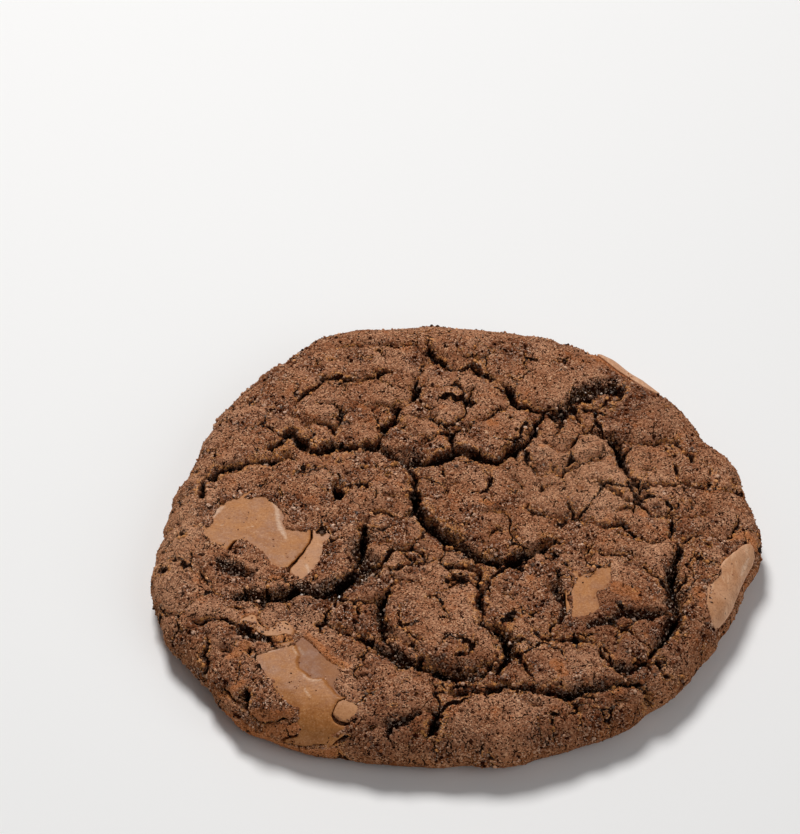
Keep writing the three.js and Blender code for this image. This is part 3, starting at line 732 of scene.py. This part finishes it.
dough = {  # in mm where nothing else is said
    "subdivisions": 9,
    "triangles": 196000,
    "crackDepth": 2.2,  # times half the width
    "crackFloor": 0.4,  # and that much more
    "deepest": 2.2,
    "fineDepth": 2.6,  # times half the width
    "netDepth": 3.0,
    "pitDepth": 1.1,
    "pillow": 1.3,  # how far the crust domes up between cracks, and over what distance
    "pillowReach": 1.0,
    "sunk": 1.8,
    "cobble": 0.6,
    "cobbleSize": 6.2,
    "crazeSize": 2.3,
    "lump": 0.6,
    "lumpSize": 6.5,
    "knob": 0.35,
    "knobSize": 2.6,
    "terrace": 1.0,
    "terraceSize": 11,
    "terraceSteps": 6,
    "tornSize": 4.5,
    "grain": 0.26,
    "grainSize": 0.9,
    # cell size, share of the cells with a hole on top and on the rim, half width to the cell size, depth
    "pores": [(1.35, 0.28, 0.45, 0.19, 0.8), (0.62, 0.22, 0.36, 0.3, 0.25)],
    "rim": (33, 41),  # radii between which the top turns into the rim
    "pocket": -1.3,
    "lip": 0.25,
}


# patterns of the crust, worked out from a place in mm, alike in its shape and in its colour

def onRim(place):
    return place.vector("MULTIPLY", (1, 1, 0)).length().step(*dough["rim"])


def netCracks(place):
    # cracks that break the plates up into cobbles: how far off one is, and its half width
    size = dough["cobbleSize"]
    flat = place.vector("MULTIPLY", (1, 1, 0.2)).shaken(2.6, 1.2, 2.0).shaken(0.7, 0.2)
    away = flat.cells(size, "DISTANCE_TO_EDGE") * size
    half = place.noise(6.0, 1.0).step(0.42, 0.66, 0.0, 0.3)
    return away, half * (1 - onRim(place) * 0.6) + 0.01


def tornCrumb(place):
    # 1 where the crust has torn and shows rough crumb
    return place.noise(dough["tornSize"], 3.0, 0.65).step(0.44, 0.66)


def holes(place, size, share, widest):
    # round holes in some of the cells of a pattern
    cell = place.shaken(size * 0.6, size * 0.14)
    chance = cell.cells(size, output="Color").part("X")
    bore = chance.step(1 - share, 1 - share / 2, 0.0, widest)
    return 1 - (cell.cells(size) / bore.most(0.005)).step(0.5, 1.1)


def poreMasks(place):
    # the large and the small holes of the baked crumb, more of them down the rim
    rim = onRim(place)
    return [holes(place, size, rim.mix(top, side), bore) for size, top, side, bore, _ in dough["pores"]]


def hairCracks(place):
    # broken hairlines that craze the plates, too fine to cut, so only painted near black as shade
    size = dough["crazeSize"]
    flat = place.vector("MULTIPLY", (1, 1, 0.3)).shaken(1.2, 0.5, 2.0)
    half = place.vector("ADD", (7, 3, 1)).noise(2.2, 2.0).step(0.5, 0.68, 0.0, 0.1)
    return 1 - (flat.cells(size, "DISTANCE_TO_EDGE") * size / half.most(0.002)).step(0.4, 1.1)


def smoothLine(start, helper, spacing):
    shape = start.node("GeometryNodeObjectInfo", {}, {"Object": helper}, "Geometry")
    shape = start.node("GeometryNodeCurveSplineType", {"spline_type": "CATMULL_ROM"}, {"Curve": shape})
    inputs = {"Curve": shape, "Length": spacing}
    return start.node("GeometryNodeResampleCurve", {"mode": "LENGTH"}, inputs)


def curveMesh(start, helper, spacing):
    # a helper curve as edges, evenly sampled, with its radius kept
    line = smoothLine(start, helper, spacing)
    line = stored(line, "half", start.node("GeometryNodeInputRadius"))
    return line.node("GeometryNodeCurveToMesh", {}, {"Curve": line})


def filledOutlines(start, helper):
    line = smoothLine(start, helper, 0.4)
    edge = line.node("GeometryNodeCurveToMesh", {}, {"Curve": line})
    return line.node("GeometryNodeFillCurve", {}, {"Curve": line}), edge


def distanceTo(mesh, place, element="EDGES"):
    inputs = {"Geometry": mesh, "Sample Position": place}
    return mesh.node("GeometryNodeProximity", {"target_element": element}, inputs, "Distance")


def nearestValue(mesh, place, name):
    inputs = {"Geometry": mesh, "Sample Position": place}
    index = mesh.node("GeometryNodeSampleNearest", {"domain": "POINT"}, inputs)
    inputs = {"Geometry": mesh, "Value": attribute(mesh, name), "Index": index}
    return mesh.node("GeometryNodeSampleIndex", {"data_type": "FLOAT", "domain": "POINT"}, inputs)


def crackOpening(mesh, ragged, width):
    # 1 in the middle of a crack and 0 at its edge, with how far off it is and its half width
    gap = distanceTo(mesh, ragged)
    half = nearestValue(mesh, ragged, "half") * width
    return 1 - gap / half, gap, half


def tracedCracks(start, helpers, place, seen):
    # along the traced routes, made ragged: how deep the crust is cut, how open, how far off the next crack
    # is, and the sunken and the stained strips
    ragged = seen.shaken(2.6, 0.8, 2.0).shaken(0.8, 0.3, 1.0)
    width = place.noise(3.0, 1.0).step(0.34, 0.66, 0.4, 1.4)
    opening, gap, half = crackOpening(curveMesh(start, helpers["cracks"], 0.35), ragged, width)
    depth = (half * dough["crackDepth"] + dough["crackFloor"]).least(dough["deepest"])
    groove = opening.most(0) ** 0.55 * depth
    slight = seen.shaken(2.0, 0.35, 2.0).shaken(0.7, 0.2)
    width = place.noise(2.2, 1.0).step(0.34, 0.66, 0.6, 1.3)
    fine, fineGap, half = crackOpening(curveMesh(start, helpers["fineCracks"], 0.25), slight, width)
    groove = groove.most(fine.most(0) ** 0.6 * (half * dough["fineDepth"]))
    hole = crackOpening(curveMesh(start, helpers["pits"], 0.1), slight, 1.15)[0]
    groove = groove.most(hole.most(0) ** 0.6 * dough["pitDepth"])
    valley = crackOpening(curveMesh(start, helpers["valleys"], 0.4), ragged, width)[0].step(-0.25, 0.8)
    stain = crackOpening(curveMesh(start, helpers["stains"], 0.3), slight, 1.0)[0].step(-0.3, 0.35)
    return groove, opening.most(fine).most(hole), gap.least(fineGap * 1.5 + 0.2), valley, stain


def toChocolate(start, helpers, seen):
    # how far off the next pocket for chocolate is, below 0 inside
    fill, edge = filledOutlines(start, helpers["chunks"])
    ragged = seen.shaken(1.1, 0.25, 2.0)
    beyond = distanceTo(fill, ragged, "FACES") * 2 - distanceTo(edge, ragged)
    cleft = curveMesh(start, helpers["clefts"], 0.35)
    return beyond.least(distanceTo(cleft, seen) - nearestValue(cleft, seen, "half"))


def crustNodes(start, helpers):
    place = placeInMm(start)
    seen = attribute(start, "seen", "FLOAT_VECTOR")
    up = place.part("Z").step(0.3, 3.5)
    groove, opening, gap, valley, stain = tracedCracks(start, helpers, place, seen)
    net, netHalf = netCracks(place)
    netOpening = 1 - net / netHalf
    torn = tornCrumb(place) * (1 - attribute(start, "whole").step(0.0, 0.6) * 0.85)
    torn = torn.most(opening.step(-0.9, 0.0)).most(netOpening.step(-1.5, 0.0)).most(valley)
    torn = torn * (1 - stain * 0.7)
    rough = torn.mix(0.42, 1.5) * (1 - onRim(place) * 0.3)

    # crust between the cracks: domed plates, cobbles, lumps, knobs and torn steps
    pillow = (0.5 - (gap / -dough["pillowReach"]).exponent()) * dough["pillow"]
    mound = attribute(start, "mound") * gap.step(0, 2.4, 0.35, 1)
    cobble = (0.6 - (net / -0.9).exponent()) * netHalf.step(0.02, 0.2, 0.3, 1.0) * dough["cobble"]
    lumps = (place.noise(dough["lumpSize"], 2.0, 0.55) - 0.5) * (2 * dough["lump"])
    knobs = place.vector("ADD", (9, 4, 2)).noise(dough["knobSize"], 1.0) - 0.5
    knobs = knobs * rough * (2 * dough["knob"])
    steps = dough["terraceSteps"]
    ledge = place.shaken(3.0, 1.0, 2.0).shaken(0.8, 0.2).noise(dough["terraceSize"]) * steps
    risen = (ledge - ledge.floor()).step(0.4, 0.6)
    terrace = ((ledge.floor() + risen) / steps - 0.5) * dough["terrace"]

    # crumb: rounded grains and pores
    grain = (0.42 - place.shaken(0.7, 0.2).cells(dough["grainSize"])) * dough["grain"]
    grain = (grain * 1.6 + (place.noise(1.3, 3.0, 0.72) - 0.5) * (dough["grain"] * 2.6)) * rough
    large, small = [mask * pore[-1] for mask, pore in zip(poreMasks(place), dough["pores"])]

    # pockets for the chocolate, with a ragged lip of dough round each
    beyond = toChocolate(start, helpers, seen)
    lip = (1 - beyond.step(0.3, 2.2)) * dough["lip"]
    calm = beyond.step(0.5, 4.0, 0.3, 1.0)
    relief = mound + pillow + cobble + lumps + knobs + terrace - valley * dough["sunk"]
    relief = beyond.step(-0.5, 0.05, dough["pocket"], 1.0).least(relief * calm + lip)
    netCut = netOpening.most(0) ** 0.7 * netHalf * dough["netDepth"]
    cut = (groove * (1 - valley * 0.35)).most(netCut * calm)
    base = (grain - 0.35).least(0) * 0.5
    crust = moved(start, (relief - cut + grain - large.most(small)) * up + (1 - up) * base)
    marks = {"opening": opening.most(netOpening), "torn": torn * up, "valley": valley, "stain": stain,
             "toChunk": beyond}
    for name, value in marks.items():
        crust = stored(crust, name, value)
    return stored(crust, "bare", place, "FLOAT_VECTOR")


def makeDough():
    mesh, points = smoothCookie("cookie_dough", dough["subdivisions"])
    rise = moundRise(points, mounds)
    raised = points.copy()
    above = (points[:, 2] - cookie["belly"]) / (cookie["height"] - cookie["belly"])
    raised[:, 2] += rise * np.clip(above, 0, 1)
    storeOnPoints(mesh, "mound", rise)
    storeOnPoints(mesh, "whole", np.minimum(moundRise(points, plates), 1))
    storeOnPoints(mesh, "browned", np.minimum(moundRise(points, browned), 1))
    storeOnPoints(mesh, "seen", seenPlaces(raised))
    setPlaces(mesh, points * mm)
    piece = newPiece("cookie_dough", mesh)
    holesToCut = [(half, [(x - 0.1, y), (x + 0.1, y)]) for x, y, half in pits]
    helpers = {
        "cracks": routeCurve("cracks", cracks.values()),
        "fineCracks": routeCurve("fineCracks", fineCracks, ends=0.4),
        "pits": routeCurve("pits", holesToCut, ends=1),
        "valleys": routeCurve("valleys", valleys),
        "stains": routeCurve("stains", stains, ends=0.9),
        "chunks": routeCurve("chunks", [(1, c["outline"]) for c in chunks.values()], True),
        "clefts": routeCurve("clefts", clefts, ends=1),
    }
    start, close = nodesOn(piece, "crust")
    close(crustNodes(start, helpers))
    thin = piece.modifiers.new("thin", "DECIMATE")
    thin.ratio = dough["triangles"] / len(mesh.polygons)
    applyModifiers(piece)
    for helper in helpers.values():
        bpy.data.objects.remove(helper)
    flat = places(piece.data)
    flat[:, 2] = np.maximum(flat[:, 2], 0)
    setPlaces(piece.data, flat)
    smoothShaded(piece)
    return piece


# loose crumb: how many to a square millimetre on whole and on torn crust, and half widths in mm
crumbs = {
    "cookie_grains": {"segments": 4, "whole": 0.88, "torn": 4.75, "least": 0.09, "most": 0.22, "seed": 3},
    "cookie_crumbs": {"segments": 6, "whole": 0.04, "torn": 1.1, "least": 0.18, "most": 0.42, "seed": 8},
    "chocolate_dust": {"segments": 6, "whole": 0.02, "torn": 5.0, "least": 0.08, "most": 0.22, "seed": 5},
}


def joinedPieces(start, pieces):
    shape = start.node("GeometryNodeJoinGeometry")
    for piece in pieces:
        part = start.node("GeometryNodeObjectInfo", {}, {"Object": piece}, "Geometry")
        start.tree.links.new(part.socket, shape.socket.node.inputs[0])
    return shape


def crumbCount(start, spec):
    # thickest on torn crust, thin in the cracks and low on the rim, none on chocolate and underneath
    height = start.node("GeometryNodeInputPosition").part("Z")
    count = attribute(start, "torn").step(0.1, 0.9, spec["whole"], spec["torn"])
    count = count * attribute(start, "opening").step(-0.3, 0.2, 1.0, 0.25)
    return count * attribute(start, "toChunk").step(-0.3, 0.2) * height.step(0.5 * mm, 5 * mm)


def makeCrumbs(name, spec, bases):
    shape = bmesh.new()
    around, seed = spec["segments"], spec["seed"]
    bmesh.ops.create_uvsphere(shape, u_segments=around, v_segments=around // 2, radius=1)
    helper = newPiece("crumbHelper", meshFrom("crumbHelper", shape))
    piece = newPiece(name, bpy.data.meshes.new(name))
    start, close = nodesOn(piece, name)
    crust = joinedPieces(start, bases)
    crumb = start.node("GeometryNodeObjectInfo", {}, {"Object": helper}, "Geometry")
    inputs = {"Mesh": crust, "Density": crumbCount(start, spec) * (1 / mm ** 2), "Seed": seed}
    scatter = {"distribute_method": "RANDOM"}
    points = start.node("GeometryNodeDistributePointsOnFaces", scatter, inputs, "Points")
    spread = {"data_type": "FLOAT_VECTOR"}
    fullTurn = (6.28, 6.28, 6.28)
    turn = start.node("FunctionNodeRandomValue", spread, {"Max": fullTurn, "Seed": seed})
    least, most = (spec["least"] * mm,) * 3, (spec["most"] * mm,) * 3
    size = start.node("FunctionNodeRandomValue", spread, {"Min": least, "Max": most, "Seed": seed + 1})
    inputs = {"Points": points, "Instance": crumb, "Rotation": turn, "Scale": size}
    crumb = start.node("GeometryNodeInstanceOnPoints", {}, inputs)
    close(start.node("GeometryNodeRealizeInstances", {}, {"Geometry": crumb}))
    applyModifiers(piece)
    bpy.data.objects.remove(helper)
    return piece


chunkFinish = {  # in mm
    "between": 0.15,
    "above": 6,  # how far the block starts above the seen level
    "crustSubdivisions": 6,
    "voxel": 0.22,
    "dent": 0.35,
    "ripple": 0.1,
    "scale": 0.22,  # thickness of the layer that came off
}

# painted reflections on the chocolate, pale streaks broken up like scuffs: half width and route
streaks = [
    (0.5, [(-28.6, 4), (-27.8, 2.5), (-27.5, 0), (-26.8, -2.5), (-26, -4.3)]),
    (0.7, [(-38, 0.3), (-37.3, 1.8), (-36.3, 2.8)]),
    (0.25, [(-37.4, -1.2), (-36.2, -1.5)]),
    (0.4, [(-21, -5.5), (-20.3, -6)]),
    (0.6, [(-22.8, -10), (-22.2, -11.8)]),
    (0.2, [(-33, -1.9), (-31.4, -1.6)]),
    (0.2, [(-30, -28.9), (-28.5, -28.6), (-26.5, -28)]),
    (0.25, [(-24.4, -27.4), (-23.9, -28.6), (-23.4, -29.3)]),
    (0.5, [(-23.4, -27.6), (-22.8, -29)]),
    (0.35, [(-22.8, -33), (-21.4, -34.3), (-19.9, -34.2)]),
    (0.2, [(-22.5, -35.5), (-22, -37), (-21.2, -37.8)]),
    (0.5, [(47.4, -8.7), (46.6, -10.5), (45.9, -12.3)]),
]

# where crumbs of dough stick to the chocolate, in the same terms
dusted = [
    (1.5, [(-30, -21.8), (-28.8, -22.8), (-27.5, -23.2), (-26, -23.2)]),
    (0.5, [(-27.2, -35.5), (-25.8, -38.4)]),
    (0.5, [(-25.4, -46), (-23, -46.8)]),
    (0.5, [(-37.8, -4.8), (-36.3, -5.8)]),
    (0.5, [(41, -15), (40.6, -18.5)]),
]


def roomAround(name, corner):
    # how far a corner may move out under the dough without meeting the next piece of chocolate
    room = chunks[name]["margin"] * 2 + chunkFinish["between"]
    for other, spec in chunks.items():
        route = [Vector(point) for point in spec["outline"]]
        for a, b in zip(route, route[1:] + route[:1]):
            if other != name:
                share = geometry.intersect_point_line(corner, a, b)[1]
                near = a.lerp(b, min(1, max(0, share)))
                room = min(room, (near - corner).length)
    return (room - chunkFinish["between"]) / 2


def lean(point):
    # the way a block of chocolate goes down: along the sight line, on the far side straight down
    sight = (point - Vector(view["place"])).normalized()
    return sight.lerp(Vector((0, 0, -1)), farShare(point.y)).normalized()


def chunkNodes(start, helpers):
    # softened dents, the layer that came off, the strips of painted reflection and the crumbs that stick
    place = placeInMm(start)
    eye = view["place"]
    reach = ((eye[2] - place.part("Z")) * (1 / (eye[2] - seenLevel))) ** -1
    seen = place.vector("SUBTRACT", eye).scaled(reach).vector("ADD", eye).vector("MULTIPLY", (1, 1, 0))
    fill, edge = filledOutlines(start, helpers["scaled"])
    worn = seen.shaken(0.9, 0.15, 2.0)
    layer = (distanceTo(edge, worn) - distanceTo(fill, worn, "FACES") * 2).step(-0.05, 0.2)
    reflectionPlace = seen.shaken(1.2, 0.3, 2.0)
    streak = crackOpening(curveMesh(start, helpers["streaks"], 0.3), reflectionPlace, 1.0)[0]
    dustPlace = seen.shaken(1.6, 0.5, 2.0)
    dust = crackOpening(curveMesh(start, helpers["dusted"], 0.3), dustPlace, 1.0)[0].step(-0.3, 0.5)
    dents = (place.noise(4.0, 1.0) - 0.5) * chunkFinish["dent"]
    ripples = (place.noise(1.2, 2.0) - 0.5) * chunkFinish["ripple"]
    block = moved(start, dents + ripples - layer * chunkFinish["scale"])
    facing = start.node("GeometryNodeInputNormal", {}, {}, "Normal").part("Z").step(0.5, 0.8)
    fallen = facing * place.noise(2.6, 2.0).step(0.5, 0.66) * 0.32
    block = stored(stored(block, "layer", layer), "streak", streak.step(-0.2, 0.7))
    block = stored(block, "torn", fallen.most(dust))  # the crumbs read these two as they do on the dough
    block = stored(block, "opening", -3.0)
    return stored(block, "bare", place, "FLOAT_VECTOR")


def chunkBlock(name, node, spec):
    # a block with the outline as the camera sees it, which runs down along the sight lines
    outline = [Vector((x, y, seenLevel)) for x, y in spec["outline"]]
    middle = sum(outline, Vector()) / len(outline)
    above = chunkFinish["above"]
    shape = bmesh.new()
    ring = []
    for point in outline:
        out = (point - middle).normalized() * roomAround(node, point.xy)
        ring.append(shape.verts.new(point + out - lean(point) * above))
    shape.faces.new(ring)
    made = bmesh.ops.extrude_face_region(shape, geom=shape.faces[:])
    for v in [v for v in made["geom"] if isinstance(v, bmesh.types.BMVert)]:
        v.co += lean(v.co) * (above + spec["deep"])
    bmesh.ops.triangulate(shape, faces=shape.faces[:])
    bmesh.ops.recalc_face_normals(shape, faces=shape.faces[:])
    bmesh.ops.scale(shape, vec=(mm, mm, mm), verts=shape.verts[:])
    return newPiece(name, meshFrom(name, shape))


def makeChunk(name, node, spec, helpers):
    # the block cut off by the smooth crust, its edges then melted round
    piece = chunkBlock(name, node, spec)
    crustMesh, points = smoothCookie("crustHelper", chunkFinish["crustSubdivisions"], 1.0, spec["grown"])
    setPlaces(crustMesh, points * mm)
    crust = newPiece("crustHelper", crustMesh)
    cut = piece.modifiers.new("cut", "BOOLEAN")
    cut.operation = "INTERSECT"
    cut.solver = "EXACT"
    cut.object = crust
    remesh = piece.modifiers.new("melt", "REMESH")
    remesh.mode = "VOXEL"
    remesh.voxel_size = chunkFinish["voxel"] * mm
    start, close = nodesOn(piece, name + "_wear")
    close(chunkNodes(start, helpers))
    applyModifiers(piece)
    bpy.data.objects.remove(crust)
    smoothShaded(piece)
    return piece


def newMaterial(name):
    material = bpy.data.materials.new(name)
    material.use_nodes = True
    tree = material.node_tree
    shader = tree.nodes["Principled BSDF"]
    place = Wire(tree).node("ShaderNodeTexCoord", {}, {}, "Object").scaled(1 / mm)

    def feed(socket, value):
        if isinstance(value, Wire):
            tree.links.new(value.socket, shader.inputs[socket])
        else:
            shader.inputs[socket].default_value = value
    return material, place, feed


def onMesh(wire, name, output="Fac"):
    return wire.node("ShaderNodeAttribute", {"attribute_name": name}, {}, output)


def bumped(height, distance, strength=1.0):
    # distance in mm
    inputs = {"Strength": strength, "Distance": distance * mm, "Height": height}
    return height.node("ShaderNodeBump", {}, inputs)


doughLook = {
    "grain": 0.18,  # mm, size of the grains that have a shade and a gloss of their own
    "bump": 0.25,  # mm
    "roughness": 0.9,
    "specular": 0.02,
    "glossRoughness": 0.3,
    "crustDeep": srgb(170, 113, 80),
    "crustPale": srgb(199, 145, 112),
    "warm": srgb(184, 100, 44),
    "torn": srgb(152, 94, 62),
    "side": srgb(172, 106, 50),
    "grainShade": srgb(94, 40, 13),
    # painted shade in the hollows between grains
    "hollowShade": srgb(32, 3, 0),
    # pale grains, partly their own colour, partly a painted highlight
    "paleGrainHighlightWhole": srgb(250, 200, 158),
    "paleGrainHighlightTorn": srgb(254, 216, 190),
    "caramel": srgb(196, 118, 66),
    # the next two paint darker and paler patches: partly browner crumb, partly painted shade and painted
    # light
    "browned": srgb(80, 30, 8),
    "pale": srgb(240, 186, 146),
    "edge": srgb(240, 168, 100),
    # painted highlight on the torn edges of cracks
    "valley": srgb(26, 3, 0),
    # painted shade in the sunken valleys
    "glint": srgb(238, 206, 182),
    # painted glint on a few glossy grains
    "crack": srgb(15, 2, 0),
# painted shade in cracks, pores and hairlines
}


def crustColour(place, torn, shade):
    # whole crust with warmer patches, redder where it has torn, golden down the sides, its grains shaded
    look = doughLook
    colour = place.noise(7.0, 3.0, 0.6).step(0.35, 0.68).blend(look["crustDeep"], look["crustPale"])
    warm = place.vector("ADD", (50, 20, 0)).noise(3.0, 3.0, 0.6).step(0.54, 0.75)
    colour = torn.blend((warm * 0.55).blend(colour, look["warm"]), look["torn"])
    side = 1 - place.part("Z").step(2.0, 8.5)
    colour = (side * 0.45).blend(colour, look["side"])
    return ((1 - shade.step(0.2, 0.8)) * torn.mix(0.42, 0.6)).blend(colour, look["grainShade"])


def crumbColour(colour, place, torn, shade, crumb):
    # painted shade in the hollows between the grains and pale grains partly painted as highlights on the
    # bump tops, in some spots finer than in others, and spots of caramel
    look = doughLook
    lively = place.noise(1.6, 2.0).step(0.36, 0.64, 0.55, 1.0)
    share = torn.mix(0.25, 0.36) * lively
    # painted shade: the hollows between the grains darkened near black
    sunk = 1 - crumb.step(torn.mix(0.3, 0.33), torn.mix(0.35, 0.39))
    hollowShade = (1 - shade.step(share - 0.05, share + 0.03)).most(sunk * lively)
    colour = (hollowShade * torn.mix(0.85, 0.93)).blend(colour, look["hollowShade"])
    # pale grains, leaning to the bump tops: partly grain colour, partly painted highlight
    paleGrainHighlight = (shade + (crumb - 0.5) * 0.4).step(0.8, 0.9) * lively * torn.mix(0.5, 0.9)
    colour = paleGrainHighlight.blend(colour, torn.blend(look["paleGrainHighlightWhole"], look["paleGrainHighlightTorn"]))
    tinted = (place.noise(0.9, 2.0) - 0.5 + onMesh(place, "stain")).step(0.35, 0.9)
    return (tinted * 0.5).blend(colour, look["caramel"])


def doughMaterial(name, loose=False):
    material, place, feed = newMaterial(name)
    look = doughLook
    bare = onMesh(place, "bare", "Vector")  # the place on the crust; loose crumb keeps that of its spot
    if not loose:
        place = bare
    opening = onMesh(place, "opening")
    torn = onMesh(place, "torn")
    valley = onMesh(place, "valley")
    grains = bare.shaken(0.3, 0.06)
    own = grains.cells(look["grain"], output="Color")
    shade = own.part("X")
    crumb = place.noise(0.34, 2.0, 0.75)
    colour = crumbColour(crustColour(place, torn, shade), place, torn, shade, crumb)
    # painted darker and paler patches: partly browner crumb, partly painted shade and painted light
    toneShifted = onMesh(place, "browned")
    colour = (toneShifted * 0.4).blend(colour, look["browned"])
    colour = (toneShifted * -0.16).blend(colour, look["pale"])

    # a painted highlight of gold on torn crack edges, painted shade in the valleys, and cracks, pores and
    # hairlines painted near black as shade, broken up by the grains
    edge = opening.step(-1.4, -0.3) * (1 - opening.step(-0.3, 0.0)) * own.part("Z").step(0.45, 0.65)
    colour = (edge * 0.75).blend(colour, look["edge"])
    # painted shade darkening the sunken valleys
    valleyShade = (valley * 1.1 + (shade - 0.5) * -0.9).step(0.12, 0.75)
    colour = (valleyShade * 0.88).blend(colour, look["valley"])
    glint = own.part("Y").step(0.84, 0.9) * (torn * 0.25 + valley * 0.5)  # a few grains shine
    # painted glint: a pale colour laid into the glossy grains
    colour = glint.blend(colour, look["glint"])
    # painted shade: cracks, pores and hairlines darkened near black
    crackAndPoreShade = (opening + (shade - 0.5) * 0.5).step(-0.05, 0.4)
    if not loose:
        large, small = poreMasks(place)
        crackAndPoreShade = crackAndPoreShade.most(large).most(small).most(hairCracks(place))
    colour = (crackAndPoreShade * (0.8 if loose else 0.97)).blend(colour, look["crack"])
    height = (grains.cells(look["grain"]) * -0.8 + crumb * 1.6) * torn.mix(0.5, 1.0)
    feed("Base Color", colour)
    feed("Roughness", look["roughness"])
    feed("Specular IOR Level", look["specular"])
    feed("Coat Weight", glint)
    feed("Coat Roughness", look["glossRoughness"])
    feed("Normal", bumped(height, look["bump"]))
    return material


chocolateLook = {
    "bump": 0.2,  # mm
    "bumpStrength": 0.5,
    "roughness": (0.42, 0.56),
    "specular": 0.22,
    "scuff": srgb(222, 170, 124),
    "run": srgb(232, 188, 152),
    # painted reflection colour
    "streak": srgb(232, 200, 172),
    "rubbed": srgb(226, 178, 136),
    "rubbedDark": srgb(110, 62, 30),
    "speck": srgb(84, 44, 20),
    "layer": srgb(104, 50, 16),
}
finishes = {  # the two shades, and how far pale runs show
    "milk_chocolate": (srgb(156, 96, 46), srgb(181, 119, 64), 0.0),
    "worn_chocolate": (srgb(172, 114, 70), srgb(196, 140, 96), 0.0),
    # paler shades: partly bloom, partly painted sheen and painted light on the faces that the light falls
    # on
    "bloomed_chocolate": (srgb(186, 130, 90), srgb(208, 157, 121), 0.5),
}


def chocolateMaterial(name, darker, lighter, runs):
    # two shades with scuffs, runs, painted reflections, rubbed dust and specks, darker where the layer
    # came off
    material, place, feed = newMaterial(name)
    look = chocolateLook
    tone = place.noise(3.5, 3.0, 0.6)
    scuffs = place.vector("MULTIPLY", (1.0, 2.5, 1.0)).noise(0.8, 3.0, 0.7)
    flow = place.vector("MULTIPLY", (2.2, 0.5, 0.5)).shaken(1.5, 0.3).noise(1.2, 3.0, 0.6)
    fine = place.noise(0.3, 2.0, 0.75)
    specks = holes(place, 1.6, 0.2, 0.14)
    streak = onMesh(place, "streak") * scuffs.step(0.1, 0.7)
    colour = tone.step(0.3, 0.7).blend(darker, lighter)
    colour = (scuffs.step(0.5, 0.8) * 0.3).blend(colour, look["scuff"])
    colour = (flow.step(0.5, 0.7) * runs).blend(colour, look["run"])
    # painted reflection: pale strips where the light would glance off
    colour = (streak * 0.6).blend(colour, look["streak"])
    colour = (fine.step(0.52, 0.75) * 0.35).blend(colour, look["rubbed"])
    colour = ((1 - fine.step(0.3, 0.46)) * 0.45).blend(colour, look["rubbedDark"])
    colour = (specks * 0.6).blend(colour, look["speck"])
    colour = (onMesh(place, "layer") * 0.45).blend(colour, look["layer"])
    height = place.noise(1.6, 3.0, 0.6) * 0.6 + scuffs * 0.15 + fine * 0.15 + flow * runs - specks * 0.4
    feed("Base Color", colour)
    feed("Roughness", tone.step(0.3, 0.7, *look["roughness"]))
    feed("Specular IOR Level", look["specular"])
    feed("Normal", bumped(height, look["bump"], look["bumpStrength"]))
    return material


studio = {  # in metres, watts
    "floor": {"half": 2.5, "colour": (0.88, 0.88, 0.885, 1), "roughness": 0.6},
    "lights": {
        "key": {"place": (-0.15, 0.5, 0.8), "size": 0.3, "power": 7.2, "colour": (1, 0.99, 0.97)},
        "fill": {"place": (0.55, -0.45, 0.5), "size": 0.8, "power": 1.8, "colour": (1, 1, 1)},
    },
    "surround": 0.15,
}


def addFloor(half, colour, roughness):
    shape = bmesh.new()
    bmesh.ops.create_grid(shape, x_segments=1, y_segments=1, size=half)
    floor = newPiece("floor", meshFrom("floor", shape))
    material, place, feed = newMaterial("pale_floor")
    feed("Base Color", colour)
    feed("Roughness", roughness)
    floor.data.materials.append(material)


def addLight(name, place, size, power, colour):
    lamp = bpy.data.lights.new(name, "AREA")
    lamp.shape = "DISK"
    lamp.size = size
    lamp.energy = power
    lamp.color = colour
    light = bpy.data.objects.new(name, lamp)
    light.location = place
    light.rotation_euler = (-Vector(place)).to_track_quat("-Z", "Y").to_euler()
    bpy.context.scene.collection.objects.link(light)


def addSurround(strength):
    world = bpy.data.worlds.new("studio")
    bpy.context.scene.world = world
    world.use_nodes = True
    background = world.node_tree.nodes["Background"]
    background.inputs["Color"].default_value = (1, 1, 1, 1)
    background.inputs["Strength"].default_value = strength


def dress(piece, material, node):
    piece.data.materials.clear()
    piece.data.materials.append(material)
    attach(piece, "root")
    if node:
        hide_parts(node)
    print(piece.name + ":", len(piece.data.polygons), "faces")


addCamera()
doughPiece = makeDough()
dress(doughPiece, doughMaterial("baked_dough"), "dough")
looseDough = doughMaterial("crumb_dough", True)

chunkHelpers = {
    "scaled": routeCurve("scaled", [(1, chunks["chunk_near"]["scaled"])], True),
    "streaks": routeCurve("streaks", streaks, ends=0.4),
    "dusted": routeCurve("dusted", dusted, ends=0.8),
}
chocolateMaterials = {name: chocolateMaterial(name, *finish) for name, finish in finishes.items()}
chocolates = []
for name, spec in chunks.items():
    piece = makeChunk(name.replace("chunk", "chocolate"), name, spec, chunkHelpers)
    dress(piece, chocolateMaterials[spec["finish"]], name)
    chocolates.append(piece)
for helper in chunkHelpers.values():
    bpy.data.objects.remove(helper)

for name, spec in crumbs.items():
    bases = chocolates if name == "chocolate_dust" else [doughPiece]
    dress(makeCrumbs(name, spec, bases), looseDough, None)

addFloor(**studio["floor"])
for name, light in studio["lights"].items():
    addLight(name, **light)
addSurround(studio["surround"])
bpy.context.scene.view_settings.view_transform = "Standard"
print("floor and lights are in place")
